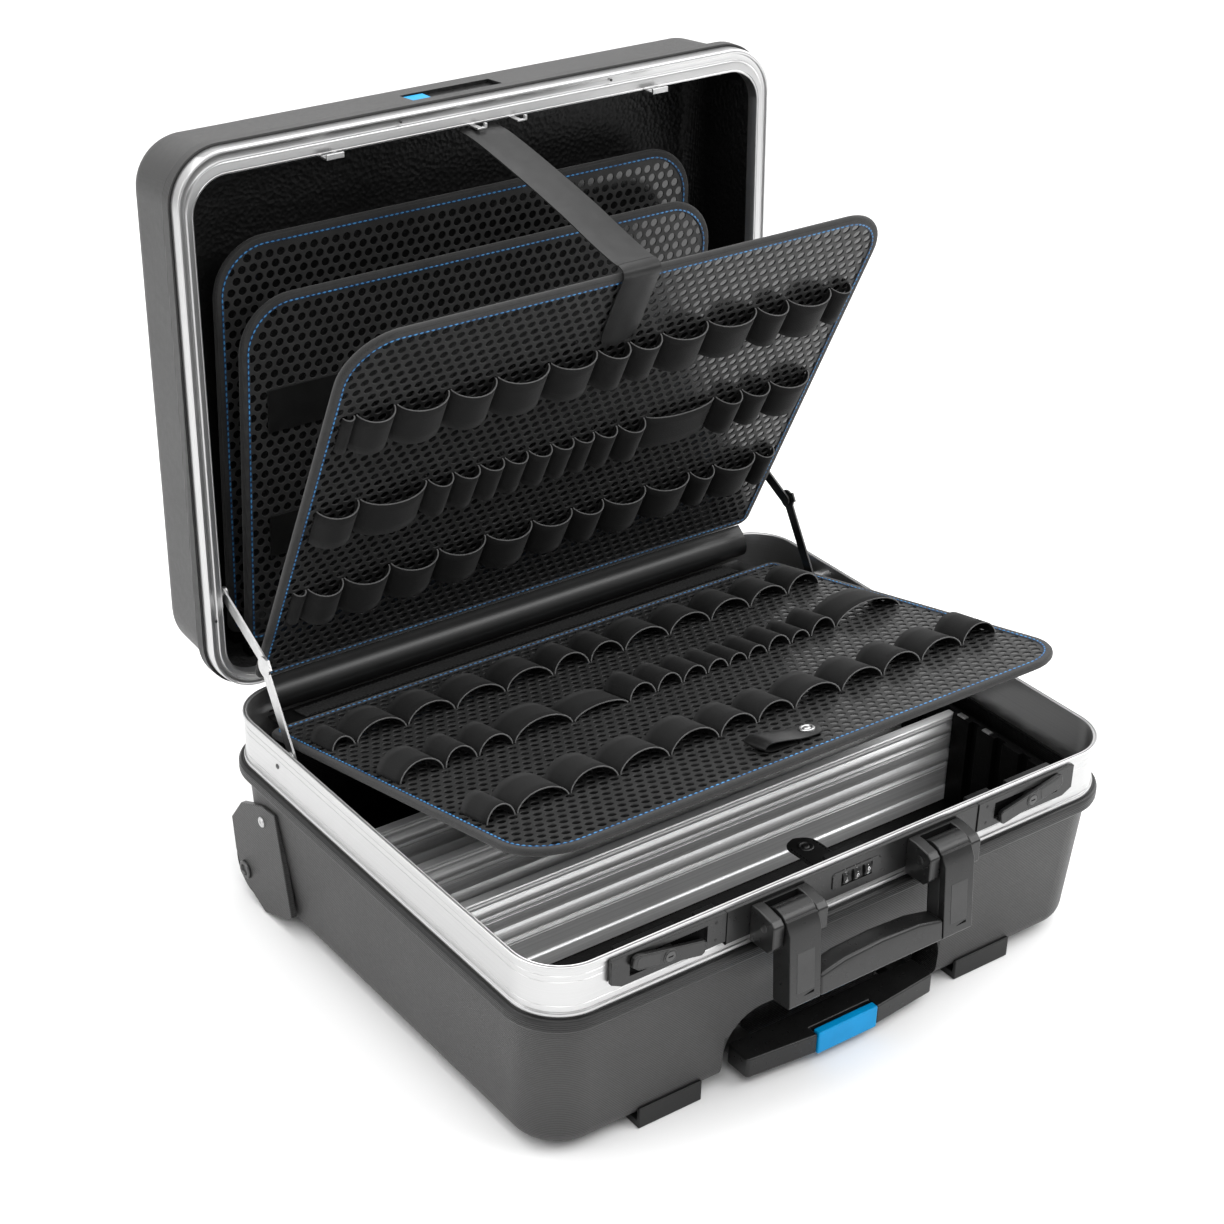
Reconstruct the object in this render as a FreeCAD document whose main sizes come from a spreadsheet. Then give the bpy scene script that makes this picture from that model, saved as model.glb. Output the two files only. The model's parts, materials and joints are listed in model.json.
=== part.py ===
import FreeCAD, Part
import math
import os
import re
import Sketcher

# Wheeled hard tool case, open, in millimetres. +X runs along the case's length, -Y is the front with the
# locks, +Z is up.
# The sizes are counted from the floor under the middle of the frame, and the nodes are then moved
# forward by origin_back,
# so that the origin lies on the floor under the middle of the open case.

SIZES = {
    "frame_length": 490, "frame_depth": 390, "frame_corner": 37, "rim_height": 156, "band_height": 38,
    "band_wall": 2.4, "bead_proud": 1.2, "bead_height": 3.4, "seam_gap": 0.2, "rib_proud": 4,
    "rib_height": 10, "ground_gap": 6, "shell_inset": 2, "shell_wall": 3, "shell_taper": 3.4,
    "shell_round": 13, "cavity_round": 10, "floor_level": 33, "floor_thick": 3, "floor_gap": 0.3,
    "recess_half": 95, "recess_top": 57.5, "recess_depth": 30, "recess_round": 30, "recess_wall": 2.5,
    "foot_inner": 112.5, "foot_outer": 163.5, "foot_height": 16, "foot_set": 6, "foot_depth": 24,
    "foot_lip": 3, "lid_depth": 82, "lid_band": 10, "lid_ring": 11, "lid_ring_front": 17,
    "lid_ring_back": 10, "lid_rib_proud": 2, "lid_rib_height": 8, "lid_taper": 2.8, "lid_round": 18,
    "lid_wall": 3, "groove_depth": 1.6, "groove_width": 3.4, "groove_inset": 2.6, "open_angle": 92.7,
    "knuckle_radius": 2.6, "knuckle_gap": 0.2, "hinge_drop": 6.4, "pin_radius": 1.3, "pin_play": 0.05,
    "hinge_spacing": 150, "hinge_length": 58, "hinge_middle": 22, "hinge_play": 0.3, "leaf_thick": 1.2,
    "leaf_height": 12, "wheel_radius": 24, "wheel_width": 20, "wheel_set": 21, "wheel_margin": 16.5,
    "axle_radius": 4, "axle_play": 0.06, "hub_radius": 9, "hub_side": 1, "tyre_thick": 6,
    "plate_margin": 1, "plate_thick": 4.8, "wheel_room": 3.5, "wheel_side_play": 1,
    "bolt_head_radius": 7, "bolt_head_thick": 2.2, "screw_radius": 4, "screw_thick": 1.2,
    "screw_set": 47, "screw_drop": 15, "plate_gap": 14, "plate_fall": 2, "channel_x": 70,
    "channel_width": 24, "channel_height": 16,
    "channel_wall": 1.5, "channel_set": 45, "tube_play": 0.25, "stage_wall": 1.4, "stage_room": 100,
    "grip_room": 13, "grip_proud": 2.5, "grip_bow": 5.5, "grip_set": 19, "grip_low": 8.5,
    "grip_high": 24, "button_half": 26, "button_proud": 1, "button_travel": 2.5, "button_rim": 1,
    "button_play": 0.25, "button_depth": 9, "rack_thick": 8, "rack_top": 110, "rack_rear_set": 63,
    "rack_front_set": 40, "slot_pitch": 26, "slot_depth": 4, "divider_thick": 8, "divider_top": 108,
    "divider_play": 0.3, "divider_bead": 12, "divider_front": -47, "divider_web": 3, "clip_thick": 1.2,
    "clip_height": 10, "bezel_long": 89, "bezel_margin": 48, "bezel_drop": 25, "bezel_top": 3,
    "bezel_proud": 3, "window_start": 15, "window_end": 14, "window_drop": 19.5, "window_top": 7,
    "chamfer_cut": 8, "lever_shift": 2.5, "lever_drop": 14, "lever_half": 29, "lever_height": 11,
    "lever_thick": 3.6, "lever_tilt": 11, "lever_gap": 0.3, "pivot_radius": 6, "pivot_play": 0.05,
    "key_radius": 3.8, "key_play": 0.05, "key_slot": 1, "key_proud": 0.6, "lock_box_end": 11,
    "lock_box_depth": 9, "lock_box_drop": 28, "lock_box_top": 5, "keeper_slot": 16, "keeper_drop": 9,
    "keeper_reach": 2.6, "strip_gap": 0.4, "strip_drop": 28, "strip_proud": 2.6, "dial_radius": 6.5,
    "dial_thick": 6, "dial_pitch": 9.4, "dial_play": 0.3, "dial_drop": 15.5, "dial_proud": 2.2,
    "dial_shaft": 1.5, "combo_half": 16, "combo_depth": 9.5, "bracket_share": 0.54348, "bracket_half": 22.5,
    "bracket_gap_half": 13.5, "bracket_head": 5, "bracket_drop": 32, "bracket_proud": 26,
    "bracket_web": 2.2, "swing_proud": 16, "swing_drop": 15, "swing_pin": 2.5, "swing_play": 0.05,
    "arm_half": 12.9, "arm_depth": 17, "arm_knuckle": 10.8, "arm_front": 14.5, "arm_drop": 73,
    "arm_lean": 5, "arm_round": 2.5, "grip_bar_high": 22, "grip_bar_crown": 6, "board_thick": 4,
    "binding_thick": 5, "binding_width": 7, "board_corner": 40, "board_heel": 9, "board_gap": 0.3,
    "front_side": 23, "front_room": 58, "front_set": 4.5, "front_rise": 12.8, "front_lean": 24.2,
    "middle_side": 44, "middle_room": 124, "middle_rise": 35, "middle_lean": 5.2, "rear_side": 42,
    "rear_room": 92, "rear_rise": 57, "rear_lean": 3.3, "lid_hinge_line": 16, "base_side": 16,
    "base_room": 62, "base_set": 35.3, "base_drop": 16.3, "base_pitch": 13.1, "spine_set": 8,
    "spine_drop": 15, "spine_thick": 3, "spine_side": 31, "spine_bulge": 3.5, "anchor_thick": 3,
    "anchor_drop": 8, "flap_thick": 2.5, "flap_drop": 4, "hook_thick": 1, "hook_side": 49,
    "loop_height": 13, "loop_thick": 1.2, "loop_width": 32, "pouch_height": 7, "stay_set": 74.5,
    "stay_drop": 13, "knee_set": 40, "knee_rise": 42, "stay_reach": 19, "stay_rise": 72,
    "stay_margin": 13, "stay_width": 9, "stay_thick": 1.6, "stay_gap": 0.4, "stay_pin": 2,
    "stay_play": 0.06, "knee_disc": 7.5, "stay_head": 4.5, "head_thick": 1.2, "snap_half": 12,
    "snap_thick": 1.6, "snap_drop": 24, "snap_reach": 50, "snap_button": 6, "snap_rise": 2,
    "tab_half": 13, "strap_half": 15.5, "strap_thick": 2.2, "strap_reach": 31, "strap_drop": 23,
    "strap_end_share": 0.203, "strap_lid_x": -13, "badge_half": 37, "badge_low": 34, "badge_high": 52,
    "badge_thick": 1.4, "badge_x": -7, "overrun": 1, "origin_back": 36.616,
}

# Places and sizes that follow others, each with its own named clearance
PLACES = {
    "wheel_inset": "frame_length / 2 - wheel_margin",
    "plate_outer": "frame_length / 2 - plate_margin",
    "wheel_back": "frame_depth / 2 - wheel_set",
    "screw_back": "frame_depth / 2 - screw_set",
    "stay_x": "frame_length / 2 - stay_margin",
    "bezel_face": "frame_depth / 2 + bezel_proud",
    "strip_face": "frame_depth / 2 + strip_proud",
    "bracket_face": "frame_depth / 2 + bracket_proud",
    "swing_y": "frame_depth / 2 + swing_proud",
    "foot_face": "frame_depth / 2 - foot_set",
    "grip_face": "frame_depth / 2 + grip_proud",
    "grip_back": "frame_depth / 2 - grip_set",
    "grip_half": "recess_half - grip_room",
    "spine_y": "frame_depth / 2 - spine_set",
    "front_y": "frame_depth / 2 - front_set",
    "base_y": "frame_depth / 2 - base_set",
    "spine_z": "rim_height - spine_drop",
    "front_z": "rim_height + front_rise",
    "base_z": "rim_height - base_drop",
    "anchor_high": "rim_height - anchor_drop",
    "stay_low_y": "frame_depth / 2 - stay_set",
    "stay_low_z": "rim_height - stay_drop",
    "knee_y": "frame_depth / 2 - knee_set",
    "knee_z": "rim_height + knee_rise",
    "stay_top_y": "frame_depth / 2 + stay_reach",
    "stay_top_z": "rim_height + stay_rise",
    "strap_top_y": "frame_depth / 2 + strap_reach",
    "strap_top_z": "rim_height + frame_depth - strap_drop",
    "front_half": "frame_length / 2 - front_side",
    "front_long": "frame_depth - front_room",
    "middle_half": "frame_length / 2 - middle_side",
    "middle_long": "frame_depth - middle_room",
    "rear_half": "frame_length / 2 - rear_side",
    "rear_long": "frame_depth - rear_room",
    "base_half": "frame_length / 2 - base_side",
    "base_long": "frame_depth - base_room",
    "hook_half": "frame_length / 2 - hook_side",
    "spine_half": "frame_length / 2 - spine_side",
    "rack_back": "frame_depth / 2 - rack_rear_set",
    "rack_front": "frame_depth / 2 - rack_front_set",
    "channel_back": "frame_depth / 2 - channel_set",
    "stage_length": "frame_depth - stage_room",
    "bezel_outer": "frame_length / 2 - bezel_margin",
    "bezel_inner": "bezel_outer - bezel_long",
    "bracket_x": "combo_half + bracket_share * (bezel_inner - combo_half)",
    "screw_height": "plate_head - screw_drop",
    "plate_head": "rim_height - band_height - rib_height - plate_gap",
    "window_outer": "bezel_outer - window_end",
    "window_inner": "bezel_inner + window_start",
    "lever_x": "(bezel_inner + bezel_outer) / 2 + lever_shift",
    "lock_box_outer": "bezel_outer - lock_box_end",
    "lock_box_inner": "bezel_inner",
    "strip_half": "bezel_inner - strip_gap",
    "bezel_low": "rim_height - bezel_drop",
    "bezel_high": "rim_height - bezel_top",
    "window_low": "rim_height - window_drop",
    "window_high": "rim_height - window_top",
    "lever_z": "rim_height - lever_drop",
    "dial_z": "rim_height - dial_drop",
    "lock_box_low": "rim_height - lock_box_drop",
    "lock_box_high": "rim_height - lock_box_top",
    "strip_low": "rim_height - strip_drop",
    "bracket_top": "rim_height - bracket_head",
    "bracket_low": "rim_height - bracket_drop",
    "swing_z": "rim_height - swing_drop",
    "arm_low": "rim_height - arm_drop",
    "snap_height": "rim_height - snap_drop",
}

doc = FreeCAD.newDocument("tool_case")
sheet = doc.addObject("Spreadsheet::Sheet", "Sizes")
for row, (alias, value) in enumerate(SIZES.items(), start=1):
    sheet.set("A%d" % row, alias)
    sheet.set("B%d" % row, str(value))
    sheet.setAlias("B%d" % row, alias)
doc.recompute()

WORDS = re.compile(r"[a-z][a-z_0-9]*")


def full(text):
    """An expression with each size's name led by the sheet's, and each place given by its own expression."""
    def given(match):
        name = match.group(0)
        if name in PLACES:
            return "(%s)" % full(PLACES[name])
        return "Sizes." + name if name in SIZES else name
    return WORDS.sub(given, str(text))


def value(text):
    """What an expression in the sheet's names gives now."""
    got = sheet.evalExpression(full(text))
    return float(getattr(got, "Value", got))


def bind(thing, prop, text):
    thing.setExpression(prop, full(text))


def place(thing, x="0", y="0", z="0"):
    for axis, text in (("x", x), ("y", y), ("z", z)):
        bind(thing, "Placement.Base." + axis, text)


def box(name, x, y, z):
    """A box from one place to another on each axis."""
    thing = doc.addObject("Part::Box", name)
    for prop, (low, high) in (("Length", x), ("Width", y), ("Height", z)):
        bind(thing, prop, "(%s) - (%s)" % (high, low))
    place(thing, x[0], y[0], z[0])
    return thing


TURNS = {
    "x": FreeCAD.Rotation(FreeCAD.Vector(0, 1, 0), 90),
    "y": FreeCAD.Rotation(FreeCAD.Vector(1, 0, 0), -90),
    "z": FreeCAD.Rotation(),
}


def rod(name, axis, radius, start, length):
    """A cylinder along an axis from a starting place."""
    thing = doc.addObject("Part::Cylinder", name)
    thing.Placement = FreeCAD.Placement(FreeCAD.Vector(), TURNS[axis])
    bind(thing, "Radius", radius)
    bind(thing, "Height", length)
    place(thing, *start)
    return thing


def cut(name, thing, *tools):
    tool = tools[0] if len(tools) == 1 else fuse(name + "_tools", *tools)
    made = doc.addObject("Part::Cut", name)
    made.Base = thing
    made.Tool = tool
    return made


def common(name, *things):
    made = doc.addObject("Part::MultiCommon", name)
    made.Shapes = list(things)
    return made


def fuse(name, *things):
    made = doc.addObject("Part::MultiFuse", name)
    made.Shapes = list(things)
    return made


def group(name, *things):
    made = doc.addObject("Part::Compound", name)
    made.Links = list(things)
    return made


PLANES = {"xy": "XY_Plane", "xz": "XZ_Plane", "yz": "YZ_Plane"}


def outline(body, name, plane, points):
    """A sketch on the body's own plane, a polygon whose corners stand at named places."""
    sketch = body.newObject("Sketcher::SketchObject", name)
    base = [p for p in body.Origin.OriginFeatures if p.Role == PLANES[plane]][0]
    sketch.AttachmentSupport = [(base, "")]
    sketch.MapMode = "FlatFace"
    spots = [FreeCAD.Vector(value(a), value(b), 0) for a, b in points]
    count = len(spots)
    for i in range(count):
        sketch.addGeometry(Part.LineSegment(spots[i], spots[(i + 1) % count]), False)
    for i in range(count):
        sketch.addConstraint(Sketcher.Constraint("Coincident", i, 2, (i + 1) % count, 1))
    for i, (a, b) in enumerate(points):
        for kind, text, at in (("DistanceX", a, spots[i].x), ("DistanceY", b, spots[i].y)):
            k = sketch.addConstraint(Sketcher.Constraint(kind, -1, 1, i, 1, at))
            sketch.setExpression("Constraints[%d]" % k, full(text))
    return sketch


def prism(name, plane, points, length, taper=None, back=False):
    """A body with one pad of a polygon."""
    body = doc.addObject("PartDesign::Body", name)
    sketch = outline(body, name + "_outline", plane, points)
    pad = body.newObject("PartDesign::Pad", name + "_pad")
    pad.Profile = sketch
    bind(pad, "Length", length)
    pad.Reversed = back
    if taper:
        bind(pad, "TaperAngle", taper)
    doc.recompute()
    return body


def rounded(body, radius, pick, name):
    """Rounds the edges of a body that the rule picks."""
    tip = body.Tip
    names = ["Edge%d" % (i + 1) for i, e in enumerate(tip.Shape.Edges) if pick(e)]
    fillet = body.newObject("PartDesign::Fillet", name)
    fillet.Base = (tip, names)
    bind(fillet, "Radius", radius)
    doc.recompute()
    return body


def runs(axis, least=0.5):
    """Picks straight edges that run mostly along an axis."""
    def pick(edge):
        if len(edge.Vertexes) < 2:
            return False
        way = edge.Vertexes[1].Point - edge.Vertexes[0].Point
        return way.Length > 0 and abs(getattr(way, axis)) > way.Length * (1 - least / 10)
    return pick


def level(height):
    """Picks edges that lie at a height of their body."""
    def pick(edge):
        return all(abs(p.Point.z - height) < height_slack for p in edge.Vertexes)
    return pick


height_slack = SIZES["seam_gap"] / 4


def slab(name, half, near, far, low, high, corner, taper=None, back=False):
    """A plate with rounded upright corners, from low to high."""
    points = [("-(%s)" % half, near), (half, near), (half, far), ("-(%s)" % half, far)]
    body = prism(name, "xy", points, "(%s) - (%s)" % (high, low), taper, back)
    rounded(body, corner, runs("z"), name + "_corners")
    place(body, "0", "0", high if back else low)
    return body


half_x = "frame_length / 2"
half_y = "frame_depth / 2"
band_low = "rim_height - band_height"
main_half = "frame_length / 2 - bead_proud"
main_deep = "frame_depth / 2 - bead_proud"
wall_half = "frame_length / 2 - bead_proud - band_wall"
wall_deep = "frame_depth / 2 - bead_proud - band_wall"
shell_half = "frame_length / 2 - shell_inset"
shell_deep = "frame_depth / 2 - shell_inset"
rib_low = "rim_height - band_height - rib_height"

NODES = []


def node(thing, name):
    """The thing is a sub-part, and its label names its file. It moves with the row's origin."""
    placed = group("row_" + name, thing)
    bind(placed, "Placement.Base.y", "-origin_back")
    placed.Label = name
    NODES.append(placed)
    return placed


# Base frame: an aluminium band with a bead along each edge
frame_body = fuse(
    "frame_solid",
    slab("frame_main", main_half, "-(%s)" % main_deep, main_deep, band_low, "rim_height",
         "frame_corner - bead_proud"),
    slab("frame_bead_top", half_x, "-(%s)" % half_y, half_y, "rim_height - bead_height", "rim_height",
         "frame_corner"),
    slab("frame_bead_low", half_x, "-(%s)" % half_y, half_y, band_low, "%s + bead_height" % band_low,
         "frame_corner"),
)
frame_inner = slab("frame_inner", wall_half, "-(%s)" % wall_deep, wall_deep, "%s - overrun" % band_low,
                   "rim_height + overrun", "frame_corner - bead_proud - band_wall")
shaft_holes = []
for side, sign in (("left", "-"), ("right", "")):
    shaft_holes.append(rod("pivot_hole_" + side, "y", "pivot_radius + pivot_play",
                             (sign + "lever_x", "-(%s) - overrun" % half_y, "lever_z"),
                             "band_wall + bead_proud + 2 * overrun"))
dial_hole = box("dial_hole", ("-combo_half", "combo_half"),
                ("-(%s) - overrun" % half_y, "-(%s) + overrun" % wall_deep),
                ("dial_z - dial_radius - dial_play", "dial_z + dial_radius + dial_play"))
node(cut("base_frame_cut", frame_body, frame_inner, dial_hole, *shaft_holes), "base_frame")

# Base shell: a tapered tub with a rib at its top, corner pads, a recess for the trolley grip and wheel
# pockets
shell_outer = slab("shell_outer", shell_half, "-(%s)" % shell_deep, shell_deep, "ground_gap", band_low,
                   "frame_corner - shell_inset", "-shell_taper", True)
shell_bottom = "-(%s - ground_gap)" % band_low
rounded(shell_outer, "shell_round", level(value(shell_bottom)), "shell_outer_bottom")
shell_cavity = slab("shell_cavity", "%s - shell_wall" % shell_half, "-(%s) + shell_wall" % shell_deep,
                    "%s - shell_wall" % shell_deep, "ground_gap + shell_wall", band_low,
                    "frame_corner - shell_inset - shell_wall", "-shell_taper", True)
rounded(shell_cavity, "cavity_round", level(value("-(%s - ground_gap - shell_wall)" % band_low)),
        "shell_cavity_bottom")
shell_rib = slab("shell_rib", "frame_length / 2 + rib_proud", "-(frame_depth / 2 + rib_proud)",
                 "frame_depth / 2 + rib_proud", rib_low, band_low, "frame_corner + rib_proud")
rounded(shell_rib, "rib_proud - bead_proud", lambda e: level(value("rib_height"))(e) or level(0)(e),
        "shell_rib_round")
rib_inner = slab("rib_inner", "%s - shell_wall / 2" % shell_half, "-(%s) + shell_wall / 2" % shell_deep,
                 "%s - shell_wall / 2" % shell_deep, "%s - overrun" % rib_low, "%s + overrun" % band_low,
                 "frame_corner - shell_inset - shell_wall / 2")
pocket_inner = "wheel_inset - wheel_width / 2 - wheel_side_play"
pocket_front = "wheel_back - wheel_radius - wheel_room"
pocket_top = "2 * wheel_radius + wheel_room"
blocks = [box("recess_block", ("-recess_half - recess_wall", "recess_half + recess_wall"),
              ("-(%s) + shell_wall" % shell_deep, "-(%s) + recess_depth + recess_wall" % shell_deep),
              ("ground_gap + shell_wall", "recess_top + recess_wall"))]
pockets = []
for side, sign in (("left", -1), ("right", 1)):
    lo, hi = "%s - shell_wall" % pocket_inner, "%s - 2 * shell_wall" % shell_half
    ends = (lo, hi) if sign > 0 else ("-(%s)" % hi, "-(%s)" % lo)
    blocks.append(box("pocket_block_" + side, ends,
                      ("%s - shell_wall" % pocket_front, "%s - 2 * shell_wall" % shell_deep),
                      ("ground_gap + shell_wall", "%s + shell_wall" % pocket_top)))
    far = "frame_length / 2 + rib_proud + overrun"
    ends = (pocket_inner, far) if sign > 0 else ("-(%s)" % far, "-(%s)" % pocket_inner)
    pockets.append(box("pocket_" + side, ends, (pocket_front, "%s + overrun" % half_y), ("0", pocket_top)))
recess_points = [("-recess_half", "0"), ("recess_half", "0"), ("recess_half", "recess_top"),
                 ("-recess_half", "recess_top")]
recess = prism("recess", "xz", recess_points, "recess_depth + overrun + shell_inset")
rounded(recess, "recess_round",
        lambda e: runs("y")(e) and e.Vertexes[0].Point.z > value("recess_top / 2"), "recess_corners")
place(recess, "0", "-(%s) + recess_depth" % shell_deep, "0")
tube_windows = []
for side, sign in (("left", "-"), ("right", "")):
    tube_windows.append(box("tube_window_" + side,
                            (sign + "channel_x - channel_width / 2", sign + "channel_x + channel_width / 2"),
                            ("-(%s) + recess_depth - overrun" % shell_deep,
                             "-(%s) + recess_depth + recess_wall + overrun" % shell_deep),
                            ("ground_gap + shell_wall", "ground_gap + shell_wall + channel_height")))
tub = fuse("tub", cut("tub_walls", shell_outer, shell_cavity), cut("rib_ring", shell_rib, rib_inner))
blocks = [common("held_%d" % k, shell_outer, block) for k, block in enumerate(blocks)]
node(cut("base_shell_cut", fuse("tub_blocks", tub, *blocks), recess, *pockets, *tube_windows), "base_shell")

# Inner floor over the trolley space, clear of the recess and the wheel pockets
floor_in = "(shell_wall + floor_gap + (%s - floor_level + floor_thick) * tan(shell_taper))" % band_low
floor_slab = slab("floor_slab", "%s - %s" % (shell_half, floor_in), "-(%s) + %s" % (shell_deep, floor_in),
                  "%s - %s" % (shell_deep, floor_in),
                  "floor_level - floor_thick", "floor_level", "frame_corner - shell_inset - shell_wall")
floor_cuts = [box("floor_recess", ("-recess_half - recess_wall - floor_gap",
                                   "recess_half + recess_wall + floor_gap"),
                  ("-(%s)" % half_y, "-(%s) + recess_depth + recess_wall + floor_gap" % shell_deep),
                  ("0", "floor_level + overrun"))]
for side, sign in (("left", -1), ("right", 1)):
    lo, hi = "%s - shell_wall - floor_gap" % pocket_inner, half_x
    ends = (lo, hi) if sign > 0 else ("-(%s)" % hi, "-(%s)" % lo)
    floor_cuts.append(box("floor_pocket_" + side, ends,
                          ("%s - shell_wall - floor_gap" % pocket_front, half_y),
                          ("0", "floor_level + overrun")))
node(cut("floor_cut", floor_slab, *floor_cuts), "inner_floor")

# Front feet: low skids that wrap the bottom edge
feet = []
for side, sign in (("left", -1), ("right", 1)):
    ends = ("foot_inner", "foot_outer") if sign > 0 else ("-foot_outer", "-foot_inner")
    lip = box("foot_lip_" + side, ends, ("-foot_face", "-foot_face + foot_lip"), ("0", "foot_height"))
    sole = box("foot_sole_" + side, ends, ("-foot_face", "-foot_face + foot_depth"), ("0", "ground_gap"))
    feet.append(cut("foot_" + side, fuse("foot_solid_" + side, lip, sole), shell_outer))
node(group("feet_group", *feet), "front_feet")

# Wheel housings: side plates with a rounded outline that bears the axle bolt
plate_shares = ((0.7917, 2.4583), (-2.625, 0.75), (-2.375, 0.5417),
                (-1.0417, 0.0417), (0.2083, 0.5417), (0.625, 1.4167))
plate_spots = [("wheel_back + wheel_radius * %.4f" % a, "wheel_radius * %.4f" % b) for a, b in plate_shares]
plate_top = [("wheel_back + wheel_radius / 6", "screw_height"),
             ("wheel_back - wheel_radius * 17 / 16", "plate_head - plate_fall"),
             ("wheel_back - wheel_radius * 11 / 6", "plate_head")]
plate_spots = plate_spots[:1] + plate_top + plate_spots[1:]
housings, bolts, screws = [], [], []
for side, sign in (("left", -1), ("right", 1)):
    plate = prism("housing_plate_" + side, "yz", plate_spots, "plate_thick")
    place(plate, "plate_outer - plate_thick" if sign > 0 else "-plate_outer")
    inner = "wheel_inset + wheel_width / 2 + hub_side + pin_play"
    axle_at = "wheel_inset - wheel_width / 2 - wheel_side_play"
    length = "plate_outer - (%s)" % axle_at
    bolt_start = axle_at if sign > 0 else "-plate_outer"
    bore = rod("housing_bore_" + side, "x", "axle_radius",
               ("plate_outer - plate_thick - overrun" if sign > 0 else "-plate_outer - overrun",
                "wheel_back", "wheel_radius"),
               "plate_thick + 2 * overrun")
    housings.append(cut("housing_" + side, plate, bore, shell_outer))
    shank = rod("axle_shank_" + side, "x", "axle_radius", (bolt_start, "wheel_back", "wheel_radius"), length)
    head = rod("axle_head_" + side, "x", "bolt_head_radius",
               ("plate_outer" if sign > 0 else "-plate_outer - bolt_head_thick", "wheel_back",
                "wheel_radius"),
               "bolt_head_thick")
    bolts.append(fuse("axle_" + side, shank, head))
    screws.append(rod("housing_screw_" + side, "x", "screw_radius",
                      ("plate_outer" if sign > 0 else "-plate_outer - screw_thick", "screw_back",
                       "screw_height"),
                      "screw_thick"))
    start = "wheel_inset - wheel_width / 2" if sign > 0 else "-wheel_inset - wheel_width / 2"
    tyre = rod("tyre_solid_" + side, "x", "wheel_radius", (start, "wheel_back", "wheel_radius"),
               "wheel_width")
    tyre_bore = rod("tyre_bore_" + side, "x", "wheel_radius - tyre_thick",
                    ("%s - overrun" % start, "wheel_back", "wheel_radius"), "wheel_width + 2 * overrun")
    rim = rod("rim_solid_" + side, "x", "wheel_radius - tyre_thick",
              ("%s + hub_side" % start, "wheel_back", "wheel_radius"), "wheel_width - 2 * hub_side")
    hub = rod("hub_solid_" + side, "x", "hub_radius", (start, "wheel_back", "wheel_radius"), "wheel_width")
    hub_bore = rod("hub_bore_" + side, "x", "axle_radius + axle_play",
                   ("%s - overrun" % start, "wheel_back", "wheel_radius"), "wheel_width + 2 * overrun")
    node(cut("tyre_" + side, tyre, tyre_bore), "wheel_tyre_" + side)
    node(cut("rim_" + side, fuse("rim_hub_" + side, rim, hub), hub_bore), "wheel_rim_" + side)

node(group("housings_group", *housings), "wheel_housings")
node(group("bolts_group", *bolts), "axle_bolts")
node(group("screws_group", *screws), "housing_screws")

# Trolley: fixed channels, a middle stage and the grip stage
channel_low = "ground_gap + shell_wall"
channel_front = "-(%s) + recess_depth" % shell_deep


def tube(name, x, wide, high, wall, near, far, middle):
    outer = box(name + "_outer", ("%s - (%s) / 2" % (x, wide), "%s + (%s) / 2" % (x, wide)), (near, far),
                ("%s - (%s) / 2" % (middle, high), "%s + (%s) / 2" % (middle, high)))
    inner = box(name + "_inner", ("%s - (%s) / 2 + %s" % (x, wide, wall),
                                  "%s + (%s) / 2 - %s" % (x, wide, wall)),
                ("%s - overrun" % near, "%s + overrun" % far),
                ("%s - (%s) / 2 + %s" % (middle, high, wall), "%s + (%s) / 2 - %s" % (middle, high, wall)))
    return cut(name, outer, inner)


tube_z = "%s + channel_height / 2" % channel_low
stage_width = "channel_width - 2 * channel_wall - 2 * tube_play"
stage_height = "channel_height - 2 * channel_wall - 2 * tube_play"
rod_width = "channel_width - 2 * channel_wall - 4 * tube_play - 2 * stage_wall"
rod_height = "channel_height - 2 * channel_wall - 4 * tube_play - 2 * stage_wall"
channels, stages, rods = [], [], []
for side, sign in (("left", "-"), ("right", "")):
    x = sign + "channel_x"
    channels.append(tube("channel_" + side, x, "channel_width", "channel_height", "channel_wall",
                         channel_front,
                         "channel_back", tube_z))
    stages.append(tube("stage_" + side, x, stage_width, stage_height, "stage_wall", channel_front,
                       "%s + stage_length" % channel_front, tube_z))
    rods.append(box("rod_" + side, ("%s - (%s) / 2" % (x, rod_width), "%s + (%s) / 2" % (x, rod_width)),
                    ("-grip_back", "%s + stage_length" % channel_front),
                    ("%s - (%s) / 2" % (tube_z, rod_height), "%s + (%s) / 2" % (tube_z, rod_height))))
node(group("channels", *channels), "trolley_channels")
node(group("stages", *stages), "trolley_middle_tubes")
node(group("rods", *rods), "trolley_inner_tubes")
grip_points = [("-grip_half", "-grip_back"), ("-grip_half", "-grip_face"),
               ("-grip_half / 2", "-grip_face - grip_bow * 0.75"),
               ("-button_half - button_play", "-grip_face - grip_bow"),
               ("-button_half - button_play", "-grip_face - grip_bow + button_depth"),
               ("button_half + button_play", "-grip_face - grip_bow + button_depth"),
               ("button_half + button_play", "-grip_face - grip_bow"),
               ("grip_half / 2", "-grip_face - grip_bow * 0.75"), ("grip_half",
                       "-grip_face"), ("grip_half", "-grip_back")]
grip = prism("trolley_grip_body", "xy", grip_points, "grip_high - grip_low")
rounded(grip, "grip_bow / 2",
        lambda e: runs("z")(e) and abs(e.Vertexes[0].Point.x) > value("grip_half - overrun"), "grip_ends")
place(grip, "0", "0", "grip_low")
node(grip, "trolley_grip")
node(box("trolley_button_box", ("-button_half", "button_half"),
         ("-grip_face - grip_bow - button_proud",
          "-grip_face - grip_bow + button_depth - button_travel - button_rim"),
         ("grip_low - button_rim", "grip_high + button_rim")), "trolley_button")

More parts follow.
